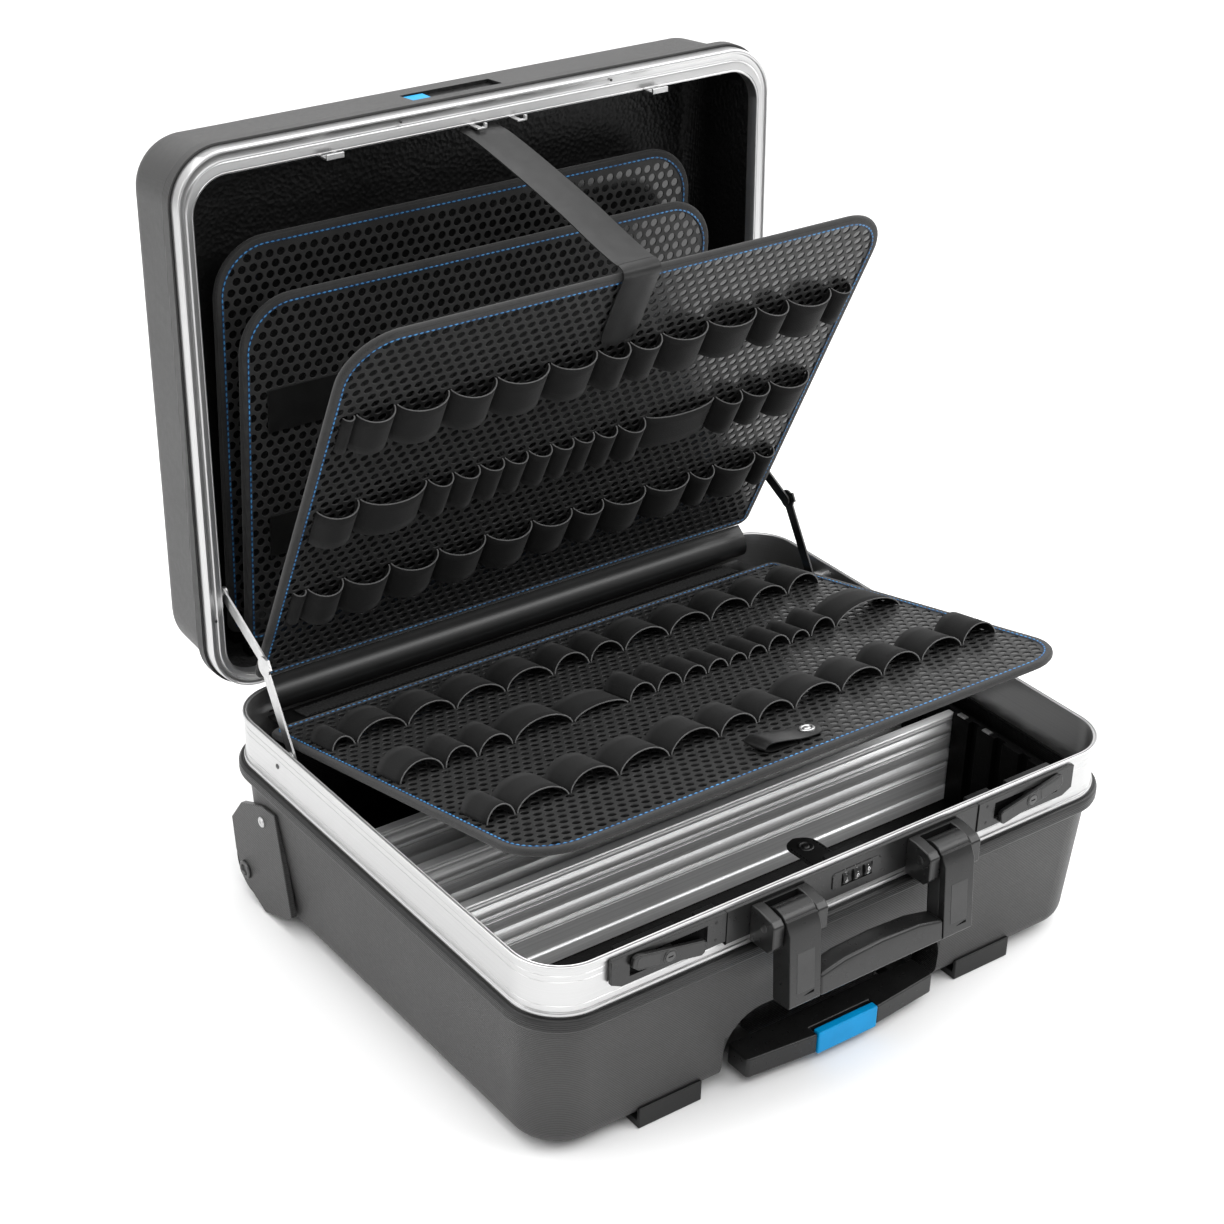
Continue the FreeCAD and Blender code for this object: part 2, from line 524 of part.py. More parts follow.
# Side racks with upright slots, and the cross dividers that stand in them
rack_far = "(%s - shell_wall - floor_gap - (%s - floor_level) * tan(shell_taper))" % (shell_half, band_low)
slot_low, slot_high = -4, 3
racks, dividers = [], []
for side, sign in (("left", -1), ("right", 1)):
    lo, hi = "%s - rack_thick" % rack_far, rack_far
    ends = (lo, hi) if sign > 0 else ("-(%s)" % hi, "-(%s)" % lo)
    rack = box("rack_solid_" + side, ends, ("-rack_front", "rack_back"), ("floor_level", "rack_top"))
    slots = []
    for k in range(slot_low, slot_high + 1):
        slot_at = "divider_front + %d * slot_pitch" % (k + 1)
        ends = (lo + " - overrun", lo + " + slot_depth") if sign > 0 else ("-(%s + slot_depth)" % lo,
                "-(%s - overrun)" % lo)
        slots.append(box("slot_%s_%d" % (side, k - slot_low), ends,
                         ("%s - divider_thick / 2 - divider_play" % slot_at,
                          "%s + divider_thick / 2 + divider_play" % slot_at),
                         ("floor_level - overrun", "rack_top + overrun")))
    racks.append(cut("rack_" + side, rack, *slots))
divider_half = "%s - rack_thick - divider_play" % rack_far
for number, spot in enumerate(("divider_front", "divider_front + 2 * slot_pitch",
                               "divider_front + 4 * slot_pitch"), 1):
    at = "(%s)" % spot
    parts = [box("web_%d" % number, ("-(%s)" % divider_half, divider_half),
                 ("%s - divider_web / 2" % at, "%s + divider_web / 2" % at), ("floor_level", "divider_top"))]
    for k, (lo, hi) in enumerate((("divider_top - divider_bead", "divider_top"),
                                  ("floor_level", "floor_level + divider_bead"),
                                  ("(divider_top + floor_level) / 2 - divider_bead / 2",
                                   "(divider_top + floor_level) / 2 + divider_bead / 2"))):
        parts.append(box("web_band_%d_%d" % (number, k), ("-(%s)" % divider_half, divider_half),
                         ("%s - divider_thick / 2" % at, "%s + divider_thick / 2" % at), (lo, hi)))
    tongue = box("web_tongue_%d" % number, ("-(%s + slot_depth)" % divider_half,
                                            "%s + slot_depth" % divider_half),
                 ("%s - divider_web / 2" % at, "%s + divider_web / 2" % at), ("floor_level", "divider_top"))
    dividers.append(fuse("divider_%d" % number, tongue, *parts))
clips = []
for side, sign in (("left", -1), ("right", 1)):
    for k in range(3):
        at = "divider_front - %d * slot_pitch" % k if k else "divider_front + slot_pitch"
        lo, hi = "%s - rack_thick" % rack_far, "%s - rack_thick / 2" % rack_far
        ends = (lo, hi) if sign > 0 else ("-(%s)" % hi, "-(%s)" % lo)
        clips.append(box("clip_%s_%d" % (side, k), ends,
                         ("%s + slot_pitch / 2 - divider_thick / 2" % at,
                          "%s + slot_pitch / 2 + divider_thick / 2" % at),
                         ("rack_top", "rack_top + clip_thick")))
node(group("racks_group", *racks), "side_racks")
node(group("dividers_group", *dividers), "cross_dividers")
node(group("rack_clips_group", *clips), "rack_clips")

# Hinge: three leaf hinges at the back; the pins run in the lid's knuckles
hinge_y = "frame_depth / 2 + knuckle_radius + knuckle_gap"
hinge_z = "rim_height - hinge_drop"
base_leaves, lid_leaves, pins = [], [], []
for k, at in enumerate(("-hinge_spacing", "0", "hinge_spacing")):
    side_len = "(hinge_length - hinge_middle) / 2 - hinge_play"
    for end, start in (("a", "%s - hinge_length / 2" % at),
                       ("b", "%s + hinge_middle / 2 + hinge_play" % at)):
        barrel = rod("barrel_%d%s" % (k, end), "x", "knuckle_radius", (start, hinge_y, hinge_z), side_len)
        leaf = box("base_leaf_%d%s" % (k, end), (start, "%s + %s" % (start, side_len)),
                   ("%s" % half_y, "%s + leaf_thick" % half_y),
                   ("%s - leaf_height" % hinge_z, hinge_z))
        bore = rod("barrel_bore_%d%s" % (k, end), "x", "pin_radius",
                   ("%s - overrun" % start, hinge_y, hinge_z),
                   "%s + 2 * overrun" % side_len)
        base_leaves.append(cut("base_hinge_%d%s" % (k, end),
                               fuse("base_knuckle_%d%s" % (k, end), barrel, leaf), bore))
    pins.append(rod("hinge_pin_%d" % k, "x", "pin_radius",
                    ("%s - hinge_length / 2" % at, hinge_y, hinge_z), "hinge_length"))
    start = "%s - hinge_middle / 2" % at
    barrel = rod("lid_barrel_%d" % k, "x", "knuckle_radius", (start, hinge_y, hinge_z), "hinge_middle")
    leaf = box("lid_leaf_%d" % k, (start, "%s + hinge_middle" % start), (half_y, "%s + leaf_thick" % half_y),
               (hinge_z, "rim_height + seam_gap + lid_band - overrun"))
    bore = rod("lid_bore_%d" % k, "x", "pin_radius + pin_play", ("%s - overrun" % start, hinge_y, hinge_z),
               "hinge_middle + 2 * overrun")
    lid_leaves.append(cut("lid_hinge_%d" % k, fuse("lid_knuckle_%d" % k, barrel, leaf), bore))
node(group("base_leaves", *base_leaves), "hinge_base_leaves")
node(group("hinge_pins_group", *pins), "hinge_pins")

# The lid is drawn closed and turned open about the hinge


def swung(thing, y, z, angle):
    """Turns a thing drawn in place about an X axis through y, z by an angle in degrees."""
    thing.Placement = FreeCAD.Placement(FreeCAD.Vector(),
                                        FreeCAD.Rotation(FreeCAD.Vector(1, 0, 0), value(angle)))
    bind(thing, "Placement.Rotation.Angle", angle)
    bind(thing, "Placement.Base.y", "(%s) - (%s) * cos(%s) + (%s) * sin(%s)" % (y, y, angle, z, angle))
    bind(thing, "Placement.Base.z", "(%s) - (%s) * sin(%s) - (%s) * cos(%s)" % (z, y, angle, z, angle))
    return thing


def on_lid(thing):
    return swung(thing, hinge_y, hinge_z, "-open_angle")


def set_at(thing, y, z, angle):
    """Stands a thing drawn flat at its own hinge line at y, z, turned about X by an angle."""
    thing.Placement = FreeCAD.Placement(FreeCAD.Vector(),
                                        FreeCAD.Rotation(FreeCAD.Vector(1, 0, 0), value(angle)))
    bind(thing, "Placement.Rotation.Angle", angle)
    bind(thing, "Placement.Base.y", y)
    bind(thing, "Placement.Base.z", z)
    return thing


mate = "rim_height + seam_gap"
band_top = "rim_height + seam_gap + lid_band"
lid_frame_outer = slab("lid_frame_outer", half_x, "-(%s)" % half_y, half_y, mate, band_top, "frame_corner")
rounded(lid_frame_outer, "bead_proud / 2", lambda e: level(value("lid_band"))(e) or level(0)(e),
        "lid_frame_edges")
lid_frame_inner = slab("lid_frame_inner", "%s - lid_ring" % half_x, "-(%s) + lid_ring_front" % half_y,
                       "%s - lid_ring_back" % half_y, "%s - overrun" % mate, "%s + overrun" % band_top,
                       "frame_corner - lid_ring")
groove_outer = slab("groove_outer", "%s - groove_inset" % half_x, "-(%s) + groove_inset" % half_y,
                    "%s - groove_inset" % half_y, "%s - overrun" % mate, "%s + groove_depth" % mate,
                    "frame_corner - groove_inset")
groove_inner = slab("groove_inner", "%s - groove_inset - groove_width" % half_x,
                    "-(%s) + groove_inset + groove_width" % half_y, "%s - groove_inset - groove_width" % half_y,
                    "%s - 2 * overrun" % mate, "%s + groove_depth + overrun" % mate,
                    "frame_corner - groove_inset - groove_width")
groove = cut("groove", groove_outer, groove_inner)
node(on_lid(cut("lid_frame_cut", lid_frame_outer, lid_frame_inner, groove)), "lid_frame")

lid_top = "rim_height + lid_depth"
lid_shell_outer = slab("lid_shell_outer", shell_half, "-(%s)" % shell_deep, shell_deep, band_top, lid_top,
                       "frame_corner - shell_inset", "-lid_taper")
rounded(lid_shell_outer, "lid_round", level(value("lid_depth - seam_gap - lid_band")), "lid_shell_top")
lid_shell_cavity = slab("lid_shell_cavity", "%s - lid_wall" % shell_half, "-(%s) + lid_wall" % shell_deep,
                        "%s - lid_wall" % shell_deep, band_top, "%s - lid_wall" % lid_top,
                        "frame_corner - shell_inset - lid_wall", "-lid_taper")
rounded(lid_shell_cavity, "lid_round - lid_wall",
        level(value("lid_depth - seam_gap - lid_band - lid_wall")), "lid_cavity_top")
lid_rib = slab("lid_rib", "frame_length / 2 + lid_rib_proud", "-(%s) - lid_rib_proud" % half_y,
               "%s + lid_rib_proud" % half_y,
               band_top, "%s + lid_rib_height" % band_top, "frame_corner + lid_rib_proud")
lid_rib_inner = slab("lid_rib_inner", "%s - lid_wall" % shell_half, "-(%s) + lid_wall" % shell_deep,
                     "%s - lid_wall" % shell_deep, "%s - overrun" % band_top,
                     "%s + lid_rib_height + overrun" % band_top, "frame_corner - shell_inset - lid_wall")
lid_rib_band = cut("lid_rib_band", lid_rib, lid_rib_inner)
badge_x = ("badge_x - badge_half", "badge_x + badge_half")
badge_z = ("rim_height + badge_low", "rim_height + badge_high")
badge_bed = box("badge_bed", badge_x, ("-(%s) - overrun" % half_y, "-(%s) + 2 * lid_wall" % shell_deep),
                badge_z)
badge_back = box("badge_back", ("badge_x - badge_half - lid_wall", "badge_x + badge_half + lid_wall"),
                 ("-(%s) + lid_wall" % shell_deep, "-(%s) + 3 * lid_wall" % shell_deep),
                 ("rim_height + badge_low - lid_wall", "rim_height + badge_high + lid_wall"))
lid_tub = cut("lid_tub", lid_shell_outer, lid_shell_cavity)
node(on_lid(cut("lid_shell_cut", fuse("lid_shell_solid", lid_tub, lid_rib_band, badge_back), badge_bed)),
     "lid_shell")
badge = box("badge_plate_box", badge_x,
            ("-(%s) + 2 * lid_wall - badge_thick" % shell_deep,
             "-(%s) + 2 * lid_wall" % shell_deep), badge_z)
node(on_lid(group("badge_group", badge)), "badge_plate")
node(on_lid(group("lid_leaves", *lid_leaves)), "hinge_lid_leaves")

# Keeper hooks on the lid's front ring, which drop in behind the front wall
keepers = []
keeper_shares = (-0.5388, -0.0718, 0.0633, 0.5592)
for k, share in enumerate(keeper_shares):
    mid = "%s * %.4f" % (half_x, share)
    front = "-(%s) + lid_ring_front" % half_y
    stem = box("keeper_stem_%d" % k, ("%s - keeper_slot / 4" % mid, "%s + keeper_slot / 4" % mid),
               (front, "%s + clip_thick" % front), ("%s - keeper_drop" % mate, "%s + lid_band / 2" % mate))
    lip = box("keeper_lip_%d" % k, ("%s - keeper_slot / 3" % mid, "%s + keeper_slot / 3" % mid),
              ("%s - keeper_reach" % front, "%s + clip_thick" % front),
              ("%s - keeper_drop" % mate, "%s - keeper_drop + clip_thick" % mate))
    keepers.append(fuse("keeper_%d" % k, stem, lip))
node(on_lid(group("keepers", *keepers)), "lid_keepers")


# Boards: a panel, a binding round its edge and rows of elastic loops; drawn flat with the hinge edge on
# the X axis
def bound_board(name, half, long, y, z, angle, *more):
    """The panel and its binding."""
    made = []
    for part, inset, thick in (("edge", "0", "binding_thick"), ("panel", "binding_width", "board_thick")):
        near = "-binding_thick / 2 + %s" % inset
        far = "%s - %s" % (long, inset)
        side = "%s - %s" % (half, inset)
        points = [("-(%s)" % side, near), (side, near), (side, far), ("-(%s)" % side, far)]
        body = prism("%s_%s" % (name, part), "xy", points, thick)
        top = value(far)
        rounded(body, "board_corner - %s" % inset,
                lambda e: runs("z")(e) and abs(e.Vertexes[0].Point.y - top) < height_slack,
                "%s_%s_far" % (name, part))
        rounded(body, "board_heel - %s" % ("0" if part == "edge" else "binding_width / 2"),
                lambda e: runs("z")(e) and e.Vertexes[0].Point.y < 0.1 * top, "%s_%s_near" % (name, part))
        if part == "edge":
            rounded(body, "binding_thick / 2 - overrun / 10",
                    lambda e: level(0)(e) or level(value("binding_thick"))(e), "%s_bead" % name)
        place(body, "0", "0", "-%s / 2" % thick)
        made.append(body)
    hole = prism(name + "_hole", "xy",
                 [("-(%s - binding_width)" % half, "-binding_thick / 2 + binding_width"),
                                        ("%s - binding_width" % half, "-binding_thick / 2 + binding_width"),
                                        ("%s - binding_width" % half, "%s - binding_width" % long),
                                        ("-(%s - binding_width)" % half, "%s - binding_width" % long)],
                 "binding_thick + 2 * overrun")
    top = value("%s - binding_width" % long)
    rounded(hole, "board_corner - binding_width",
            lambda e: runs("z")(e) and abs(e.Vertexes[0].Point.y - top) < height_slack, name + "_hole_far")
    rounded(hole, "board_heel - binding_width / 2",
            lambda e: runs("z")(e) and e.Vertexes[0].Point.y < 0.1 * top, name + "_hole_near")
    place(hole, "0", "0", "-binding_thick / 2 - overrun")
    edge = cut(name + "_binding_cut", made[0], hole)
    node(set_at(group(name + "_group", edge, made[1], *more), y, z, angle), name)


def at_hinge(y, z, angle):
    return FreeCAD.Placement(FreeCAD.Vector(0, value(y), value(z)),
                             FreeCAD.Rotation(FreeCAD.Vector(1, 0, 0), value(angle)))


def arch(left, right, near, far, base, height, thick, up):
    """One elastic loop: a bent strip standing on the board."""
    mid = (left + right) / 2
    spots = []
    for inset in (0, thick):
        spots.append([FreeCAD.Vector(x, near, base + up * h) for x, h in
                      ((left + inset, 0), (mid, height - inset), (right - inset, 0))])
    outer = Part.Arc(*spots[0]).toShape()
    inner = Part.Arc(*spots[1]).toShape()
    feet = [Part.makeLine(spots[0][0], spots[1][0]), Part.makeLine(spots[0][2], spots[1][2])]
    wire = Part.Wire(Part.__sortEdges__([outer, feet[1], inner, feet[0]]))
    return Part.Face(wire).extrude(FreeCAD.Vector(0, far - near, 0))


def loop_rows(name, half, long, rows, up, y, z, angle):
    """Rows of loops between shares of the board's half width; a pouch lies flatter."""
    made = doc.addObject("Part::Feature", name + "_bands")
    half, long = value(half), value(long)
    width, thick = value("loop_width"), value("loop_thick")
    base = up * value("board_thick") / 2
    solids = []
    for v_share, shares, pouch in rows:
        near = long * v_share - width / 2
        for k in range(len(shares) - 1):
            height = value("pouch_height") if k == pouch else value("loop_height")
            left, right = half * shares[k], half * shares[k + 1]
            gap = thick / 4
            height = min(height, (right - left) * 0.48)
            solids.append(arch(left + gap, right - gap, near, near + width, base, height, thick, up))
    made.Shape = Part.makeCompound(solids)
    made.Placement = at_hinge(y, z, angle)
    node(made, name)


front_angle = "90 + front_lean"
base_angle = "180 - base_pitch"
middle_angle = "180 + middle_lean - open_angle"
rear_angle = "180 + rear_lean - open_angle"
lid_line = "%s - lid_hinge_line" % half_y


def lid_place(y, z):
    """Where a place drawn on the closed lid lies when the lid is open."""
    dy, dz = "(%s - (%s))" % (y, hinge_y), "(%s - (%s))" % (z, hinge_z)
    return ("%s + %s * cos(open_angle) + %s * sin(open_angle)" % (hinge_y, dy, dz),
            "%s - %s * sin(open_angle) + %s * cos(open_angle)" % (hinge_z, dy, dz))


middle_at = lid_place(lid_line, "rim_height + middle_rise")
rear_at = lid_place(lid_line, "rim_height + rear_rise")
bound_board("front_board", "front_half", "front_long", "front_y", "front_z", front_angle)
bands = []
for k, share in enumerate((0.25, 0.62)):
    bands.append(box("pocket_band_%d" % k, ("-middle_half * 0.9", "middle_half * 0.9"),
                     ("middle_long * %.3f" % share, "middle_long * %.3f + loop_width" % share),
                     ("board_thick / 2", "board_thick / 2 + loop_thick")))
bound_board("middle_board", "middle_half", "middle_long", middle_at[0], middle_at[1], middle_angle, *bands)
bound_board("rear_board", "rear_half", "rear_long", rear_at[0], rear_at[1], rear_angle)
bound_board("base_board", "base_half", "base_long", "base_y", "base_z", base_angle)

top_shares = (-0.95, -0.905, -0.77, -0.585, -0.42, -0.23, -0.055, 0.065, 0.19, 0.37, 0.565, 0.69, 0.87,
              0.955)
mid_shares = (-0.95, -0.80, -0.56, -0.465, -0.37, -0.28, -0.19, -0.10, -0.015, 0.065, 0.155, 0.265, 0.55,
              0.66, 0.78, 0.95)
low_shares = (-0.95, -0.90, -0.77, -0.60, -0.42, -0.24, -0.06, 0.10, 0.225, 0.40, 0.585, 0.69, 0.87, 0.955)
front_rows = ((0.747, top_shares, None), (0.479, mid_shares, 11), (0.226, low_shares, None))
loop_rows("front_board_loops", "front_half", "front_long", front_rows, 1, "front_y", "front_z", front_angle)
back_shares = (-0.955, -0.87, -0.69, -0.515, -0.33, -0.15, -0.01, 0.125, 0.305, 0.475, 0.64, 0.80, 0.94)
centre_shares = (-0.955, -0.80, -0.685, -0.56, -0.345, -0.14, -0.035, 0.065, 0.16, 0.245, 0.32, 0.40,
                 0.495, 0.575, 0.68, 0.955)
fore_shares = (-0.95, -0.85, -0.67, -0.50, -0.32, -0.14, 0.0, 0.14, 0.32, 0.485, 0.64, 0.81, 0.955)
base_rows = ((0.168, back_shares, None), (0.436, centre_shares, 4), (0.744, fore_shares, None))
loop_rows("base_board_loops", "base_half", "base_long", base_rows, -1, "base_y", "base_z", base_angle)

# Strips that carry the two rear boards on the lid's back wall
anchors = []
for k, rise in enumerate(("middle_rise", "rear_rise")):
    anchors.append(box("lid_anchor_%d" % k, ("-middle_half", "middle_half"),
                       ("%s + binding_thick / 2 + board_gap" % lid_line,
                        "%s - lid_wall - (%s - lid_band + binding_thick) * tan(lid_taper)" % (shell_deep,
                                rise)),
                       ("rim_height + %s - binding_thick" % rise, "rim_height + %s + binding_thick" % rise)))
node(on_lid(group("lid_anchors", *anchors)), "lid_board_anchors")

# Spine: a bowed sheet that joins the front board to the base's back wall, with its anchor, flap and hook
# strip
spine_long = "sqrt((front_y - spine_y)^2 + (front_z - spine_z)^2)"
spine_angle = "atan2(front_z - spine_z; front_y - spine_y)"
spine_end = "%s - binding_thick / 2 - board_gap" % spine_long
spine_points = [("0", "0"), ("(%s) / 3" % spine_end, "spine_bulge"),
                ("2 * (%s) / 3" % spine_end, "spine_bulge"),
                (spine_end, "0"), (spine_end, "-spine_thick"), ("2 * (%s) / 3" % spine_end,
                        "spine_bulge - spine_thick"),
                ("(%s) / 3" % spine_end, "spine_bulge - spine_thick"), ("0", "-spine_thick")]
spine = prism("spine_sheet", "yz", spine_points, "2 * spine_half")
place(spine, "-spine_half", "0", "spine_thick / 2")
spine_heel = rod("spine_heel", "x", "spine_thick / 2", ("-spine_half", "0", "0"), "2 * spine_half")
node(set_at(fuse("spine_solid", spine, spine_heel), "spine_y", "spine_z", spine_angle), "board_spine")
anchor_half = "frame_length / 2 - frame_corner"
anchor = box("spine_anchor_box", ("-(%s)" % anchor_half, anchor_half),
             ("spine_y + spine_thick / 2 + board_gap", wall_deep), ("%s + 3 * anchor_thick" % band_low,
                     "anchor_high"))
flap_points = [("base_y + binding_thick / 2 + board_gap", "base_z - flap_thick / 2"),
               ("spine_y - spine_thick", "base_z - flap_drop - flap_thick"),
               ("spine_y + spine_thick / 2 + board_gap", "base_z - flap_drop - flap_thick"),
               ("spine_y + spine_thick / 2 + board_gap", "base_z - flap_drop"),
               ("spine_y - spine_thick", "base_z - flap_drop"),
               ("base_y + binding_thick / 2 + board_gap", "base_z + flap_thick / 2")]
flap = prism("flap_sheet", "yz", flap_points, "2 * spine_half")
place(flap, "-spine_half")
hook_y = ("base_y + binding_thick / 2 + board_gap", "spine_y - spine_thick")
hook_points = [(hook_y[0], "base_z + flap_thick / 2"), (hook_y[1], "base_z - flap_drop"),
               (hook_y[1], "base_z - flap_drop + hook_thick"), (hook_y[0],
                       "base_z + flap_thick / 2 + hook_thick")]
hook = prism("hook_sheet", "yz", hook_points, "2 * hook_half")
place(hook, "-hook_half")
node(group("flap_group", anchor, flap, hook), "board_flap")

# Folding lid stays: a lower link on the base and an upper link on the lid, each side, meeting at the knee
low_long = "sqrt((knee_y - stay_low_y)^2 + (knee_z - stay_low_z)^2)"
top_long = "sqrt((knee_y - stay_top_y)^2 + (knee_z - stay_top_z)^2)"
low_angle = "atan2(knee_z - stay_low_z; knee_y - stay_low_y)"
top_angle = "180deg + atan2(stay_top_z - knee_z; stay_top_y - knee_y)"
base_pivots, lid_pivots = [], []
for side, sign in (("left", -1), ("right", 1)):
    def across(lo, hi):
        return (lo, hi) if sign > 0 else ("-(%s)" % hi, "-(%s)" % lo)
    low_x = across("stay_x", "stay_x + stay_thick")
    top_x = across("stay_x - stay_gap - stay_thick", "stay_x - stay_gap")
    bar = box("low_bar_" + side, low_x, ("0", low_long), ("-stay_width / 2", "stay_width / 2"))
    heel = rod("low_heel_" + side, "x", "stay_width / 2", (low_x[0], "0", "0"), "stay_thick")
    disc = rod("low_disc_" + side, "x", "knee_disc", (low_x[0], low_long, "0"), "stay_thick")
    ear = box("low_ear_" + side, low_x, ("%s - knee_disc / 2" % low_long, "%s + knee_disc / 2" % low_long),
              ("0", "knee_disc + stay_thick"))
    hole = rod("low_hole_" + side, "x", "stay_pin + stay_play", ("%s - overrun" % low_x[0], "0", "0"),
               "stay_thick + 2 * overrun")
    node(set_at(cut("stay_low_" + side, fuse("stay_low_solid_" + side, bar, heel, disc, ear), hole),
                "stay_low_y", "stay_low_z", low_angle), "stay_lower_" + side)
    bar = box("top_bar_" + side, top_x, ("0", top_long), ("-stay_width / 2", "stay_width / 2"))
    heel = rod("top_heel_" + side, "x", "stay_width / 2", (top_x[0], "0", "0"), "stay_thick")
    toe = rod("top_toe_" + side, "x", "stay_width / 2 + stay_play", (top_x[0], top_long, "0"), "stay_thick")
    hole = rod("top_hole_" + side, "x", "stay_pin + stay_play", ("%s - overrun" % top_x[0], "0", "0"),
               "stay_thick + 2 * overrun")
    node(set_at(cut("stay_top_" + side, fuse("stay_top_solid_" + side, bar, heel, toe), hole),
                "stay_top_y", "stay_top_z", top_angle), "stay_upper_" + side)
    # the base pivot stands on the frame's inner wall, the lid pivot on the ring's inner edge
    wall = wall_half
    pin_x = across("stay_x - stay_gap / 2", wall)
    shank = rod("low_pin_" + side, "x", "stay_pin", (pin_x[0], "stay_low_y", "stay_low_z"),
                "%s - (stay_x - stay_gap / 2)" % wall)
    boss_x = across("stay_x + stay_thick + stay_gap / 2", wall)
    boss = rod("low_boss_" + side, "x", "stay_head", (boss_x[0], "stay_low_y", "stay_low_z"),
               "%s - (stay_x + stay_thick + stay_gap / 2)" % wall)
    base_pivots.append(fuse("low_pivot_" + side, shank, boss))
    ring_edge = "(%s - lid_ring)" % half_x
    closed = ("%s + (stay_top_y - (%s)) * cos(open_angle) - (stay_top_z - (%s)) * sin(open_angle)"
               % (hinge_y, hinge_y, hinge_z),
              "%s + (stay_top_y - (%s)) * sin(open_angle) + (stay_top_z - (%s)) * cos(open_angle)"
               % (hinge_z, hinge_y, hinge_z))
    head_x = across("stay_x - stay_gap - stay_thick - head_thick - stay_gap / 2",
                    "stay_x - 3 * stay_gap / 2 - stay_thick")
    shank_x = across("stay_x - stay_gap - stay_thick - head_thick - stay_gap / 2", ring_edge)
    shank = rod("top_pin_" + side, "x", "stay_pin", (shank_x[0],) + closed,
                "%s - (stay_x - 3 * stay_gap / 2 - stay_thick - head_thick)" % ring_edge)
    head = rod("top_head_" + side, "x", "stay_head", (head_x[0],) + closed, "head_thick")
    lid_pivots.append(fuse("top_pivot_" + side, shank, head))

node(group("base_pivots_group", *base_pivots), "stay_base_pivots")
node(on_lid(group("lid_pivots_group", *lid_pivots)), "stay_lid_pivots")

# Front locks: a bezel, a lever on a pivot shaft, a key cylinder and a mechanism box behind the wall
bezels, cases = [], []
TILT = FreeCAD.Rotation(FreeCAD.Vector(0, 1, 0), value("lever_tilt"))
LEAN = FreeCAD.Rotation(FreeCAD.Vector(1, 0, 0), value("arm_lean"))
for side, sign in (("left", -1), ("right", 1)):
    def across(lo, hi):
        return (lo, hi) if sign > 0 else ("-(%s)" % hi, "-(%s)" % lo)
    edge = "-" if sign < 0 else ""
    corners = [("bezel_inner", "bezel_low"), ("bezel_outer - chamfer_cut", "bezel_low"),
               ("bezel_outer", "bezel_low + chamfer_cut / 2"), ("bezel_outer",
                       "bezel_high"), ("bezel_inner", "bezel_high")]
    points = [("%s(%s)" % (edge, a), b) for a, b in corners]
    bezel = prism("bezel_body_" + side, "xz", points, "bezel_face - (%s)" % half_y)
    place(bezel, "0", "-(%s)" % half_y)
    window = box("bezel_window_" + side, across("window_inner", "window_outer"),
                 ("-bezel_face - overrun", "-bezel_face + (bezel_face - (%s)) / 2" % half_y),
                 ("window_low", "window_high"))
    shaft_hole = rod("bezel_hole_" + side, "y", "pivot_radius + pivot_play",
                     ("%slever_x" % edge, "-bezel_face - overrun", "lever_z"),
                     "bezel_face - (%s) + 2 * overrun" % main_deep)
    backing = box("bezel_backing_" + side, across("bezel_inner + chamfer_cut", "bezel_outer - chamfer_cut"),
                  ("-(%s)" % half_y, "-(%s)" % main_deep), ("bezel_low + overrun",
                          "rim_height - bead_height"))
    bezels.append(cut("bezel_cut_" + side, fuse("bezel_solid_" + side, bezel, backing), window, shaft_hole))
    plate = box("lever_plate_" + side, ("-lever_half", "lever_half"),
                ("-bezel_face - lever_gap - lever_thick",
                 "-bezel_face - lever_gap"), ("-lever_height / 2", "lever_height / 2"))
    shaft = rod("lever_shaft_" + side, "y", "pivot_radius", ("0", "-bezel_face - lever_gap", "0"),
                "bezel_face + lever_gap - (%s)" % wall_deep)
    bore = rod("lever_bore_" + side, "y", "key_radius + key_play",
               ("0", "-bezel_face - lever_gap - lever_thick - overrun", "0"),
               "lever_thick + bezel_face + lever_gap - (%s) + overrun" % half_y)
    lever = cut("lever_" + side, fuse("lever_solid_" + side, plate, shaft), bore)
    lever.Placement = FreeCAD.Placement(FreeCAD.Vector(), TILT)
    bind(lever, "Placement.Rotation.Angle", "lever_tilt" if sign < 0 else "-lever_tilt")
    place(lever, "%slever_x" % edge, "0", "lever_z")
    node(lever, "lock_lever_" + side)
    plug = rod("key_plug_" + side, "y", "key_radius",
               ("%slever_x" % edge, "-bezel_face - lever_gap - lever_thick - key_proud", "lever_z"),
               "lever_thick + key_proud + bezel_face + lever_gap - (%s)" % half_y)
    slit = box("key_slit_" + side, ("%slever_x - key_radius / 2" % edge,
                                    "%slever_x + key_radius / 2" % edge),
               ("-bezel_face - lever_gap - lever_thick - key_proud - overrun",
                "-bezel_face - lever_gap - lever_thick / 2"),
               ("lever_z - key_slot / 2", "lever_z + key_slot / 2"))
    node(cut("key_" + side, plug, slit), "key_cylinder_" + side)
    case = box("lock_case_" + side, across("lock_box_inner", "lock_box_outer"),
               ("-(%s)" % wall_deep, "-(%s) + lock_box_depth" % wall_deep),
               ("lock_box_low", "lock_box_high"))
    shaft_room = rod("lock_room_" + side, "y", "pivot_radius + 10 * pivot_play",
                     ("%slever_x" % edge, "-(%s) - overrun" % wall_deep, "lever_z"), "2 * overrun")
    mouth_at = "%s * %.4f" % (half_x, keeper_shares[0 if sign < 0 else 3])
    mouth = box("lock_mouth_" + side, ("%s - keeper_slot / 2" % mouth_at, "%s + keeper_slot / 2" % mouth_at),
                ("-(%s) + lock_box_depth / 3" % wall_deep, "-(%s) + lock_box_depth + overrun" % wall_deep),
                ("lock_box_high - clip_height - overrun", "lock_box_high + overrun"))
    cases.append(cut("lock_case_cut_" + side, case, shaft_room, mouth))
node(group("bezels_group", *bezels), "lock_bezels")
node(group("cases_group", *cases), "lock_boxes")

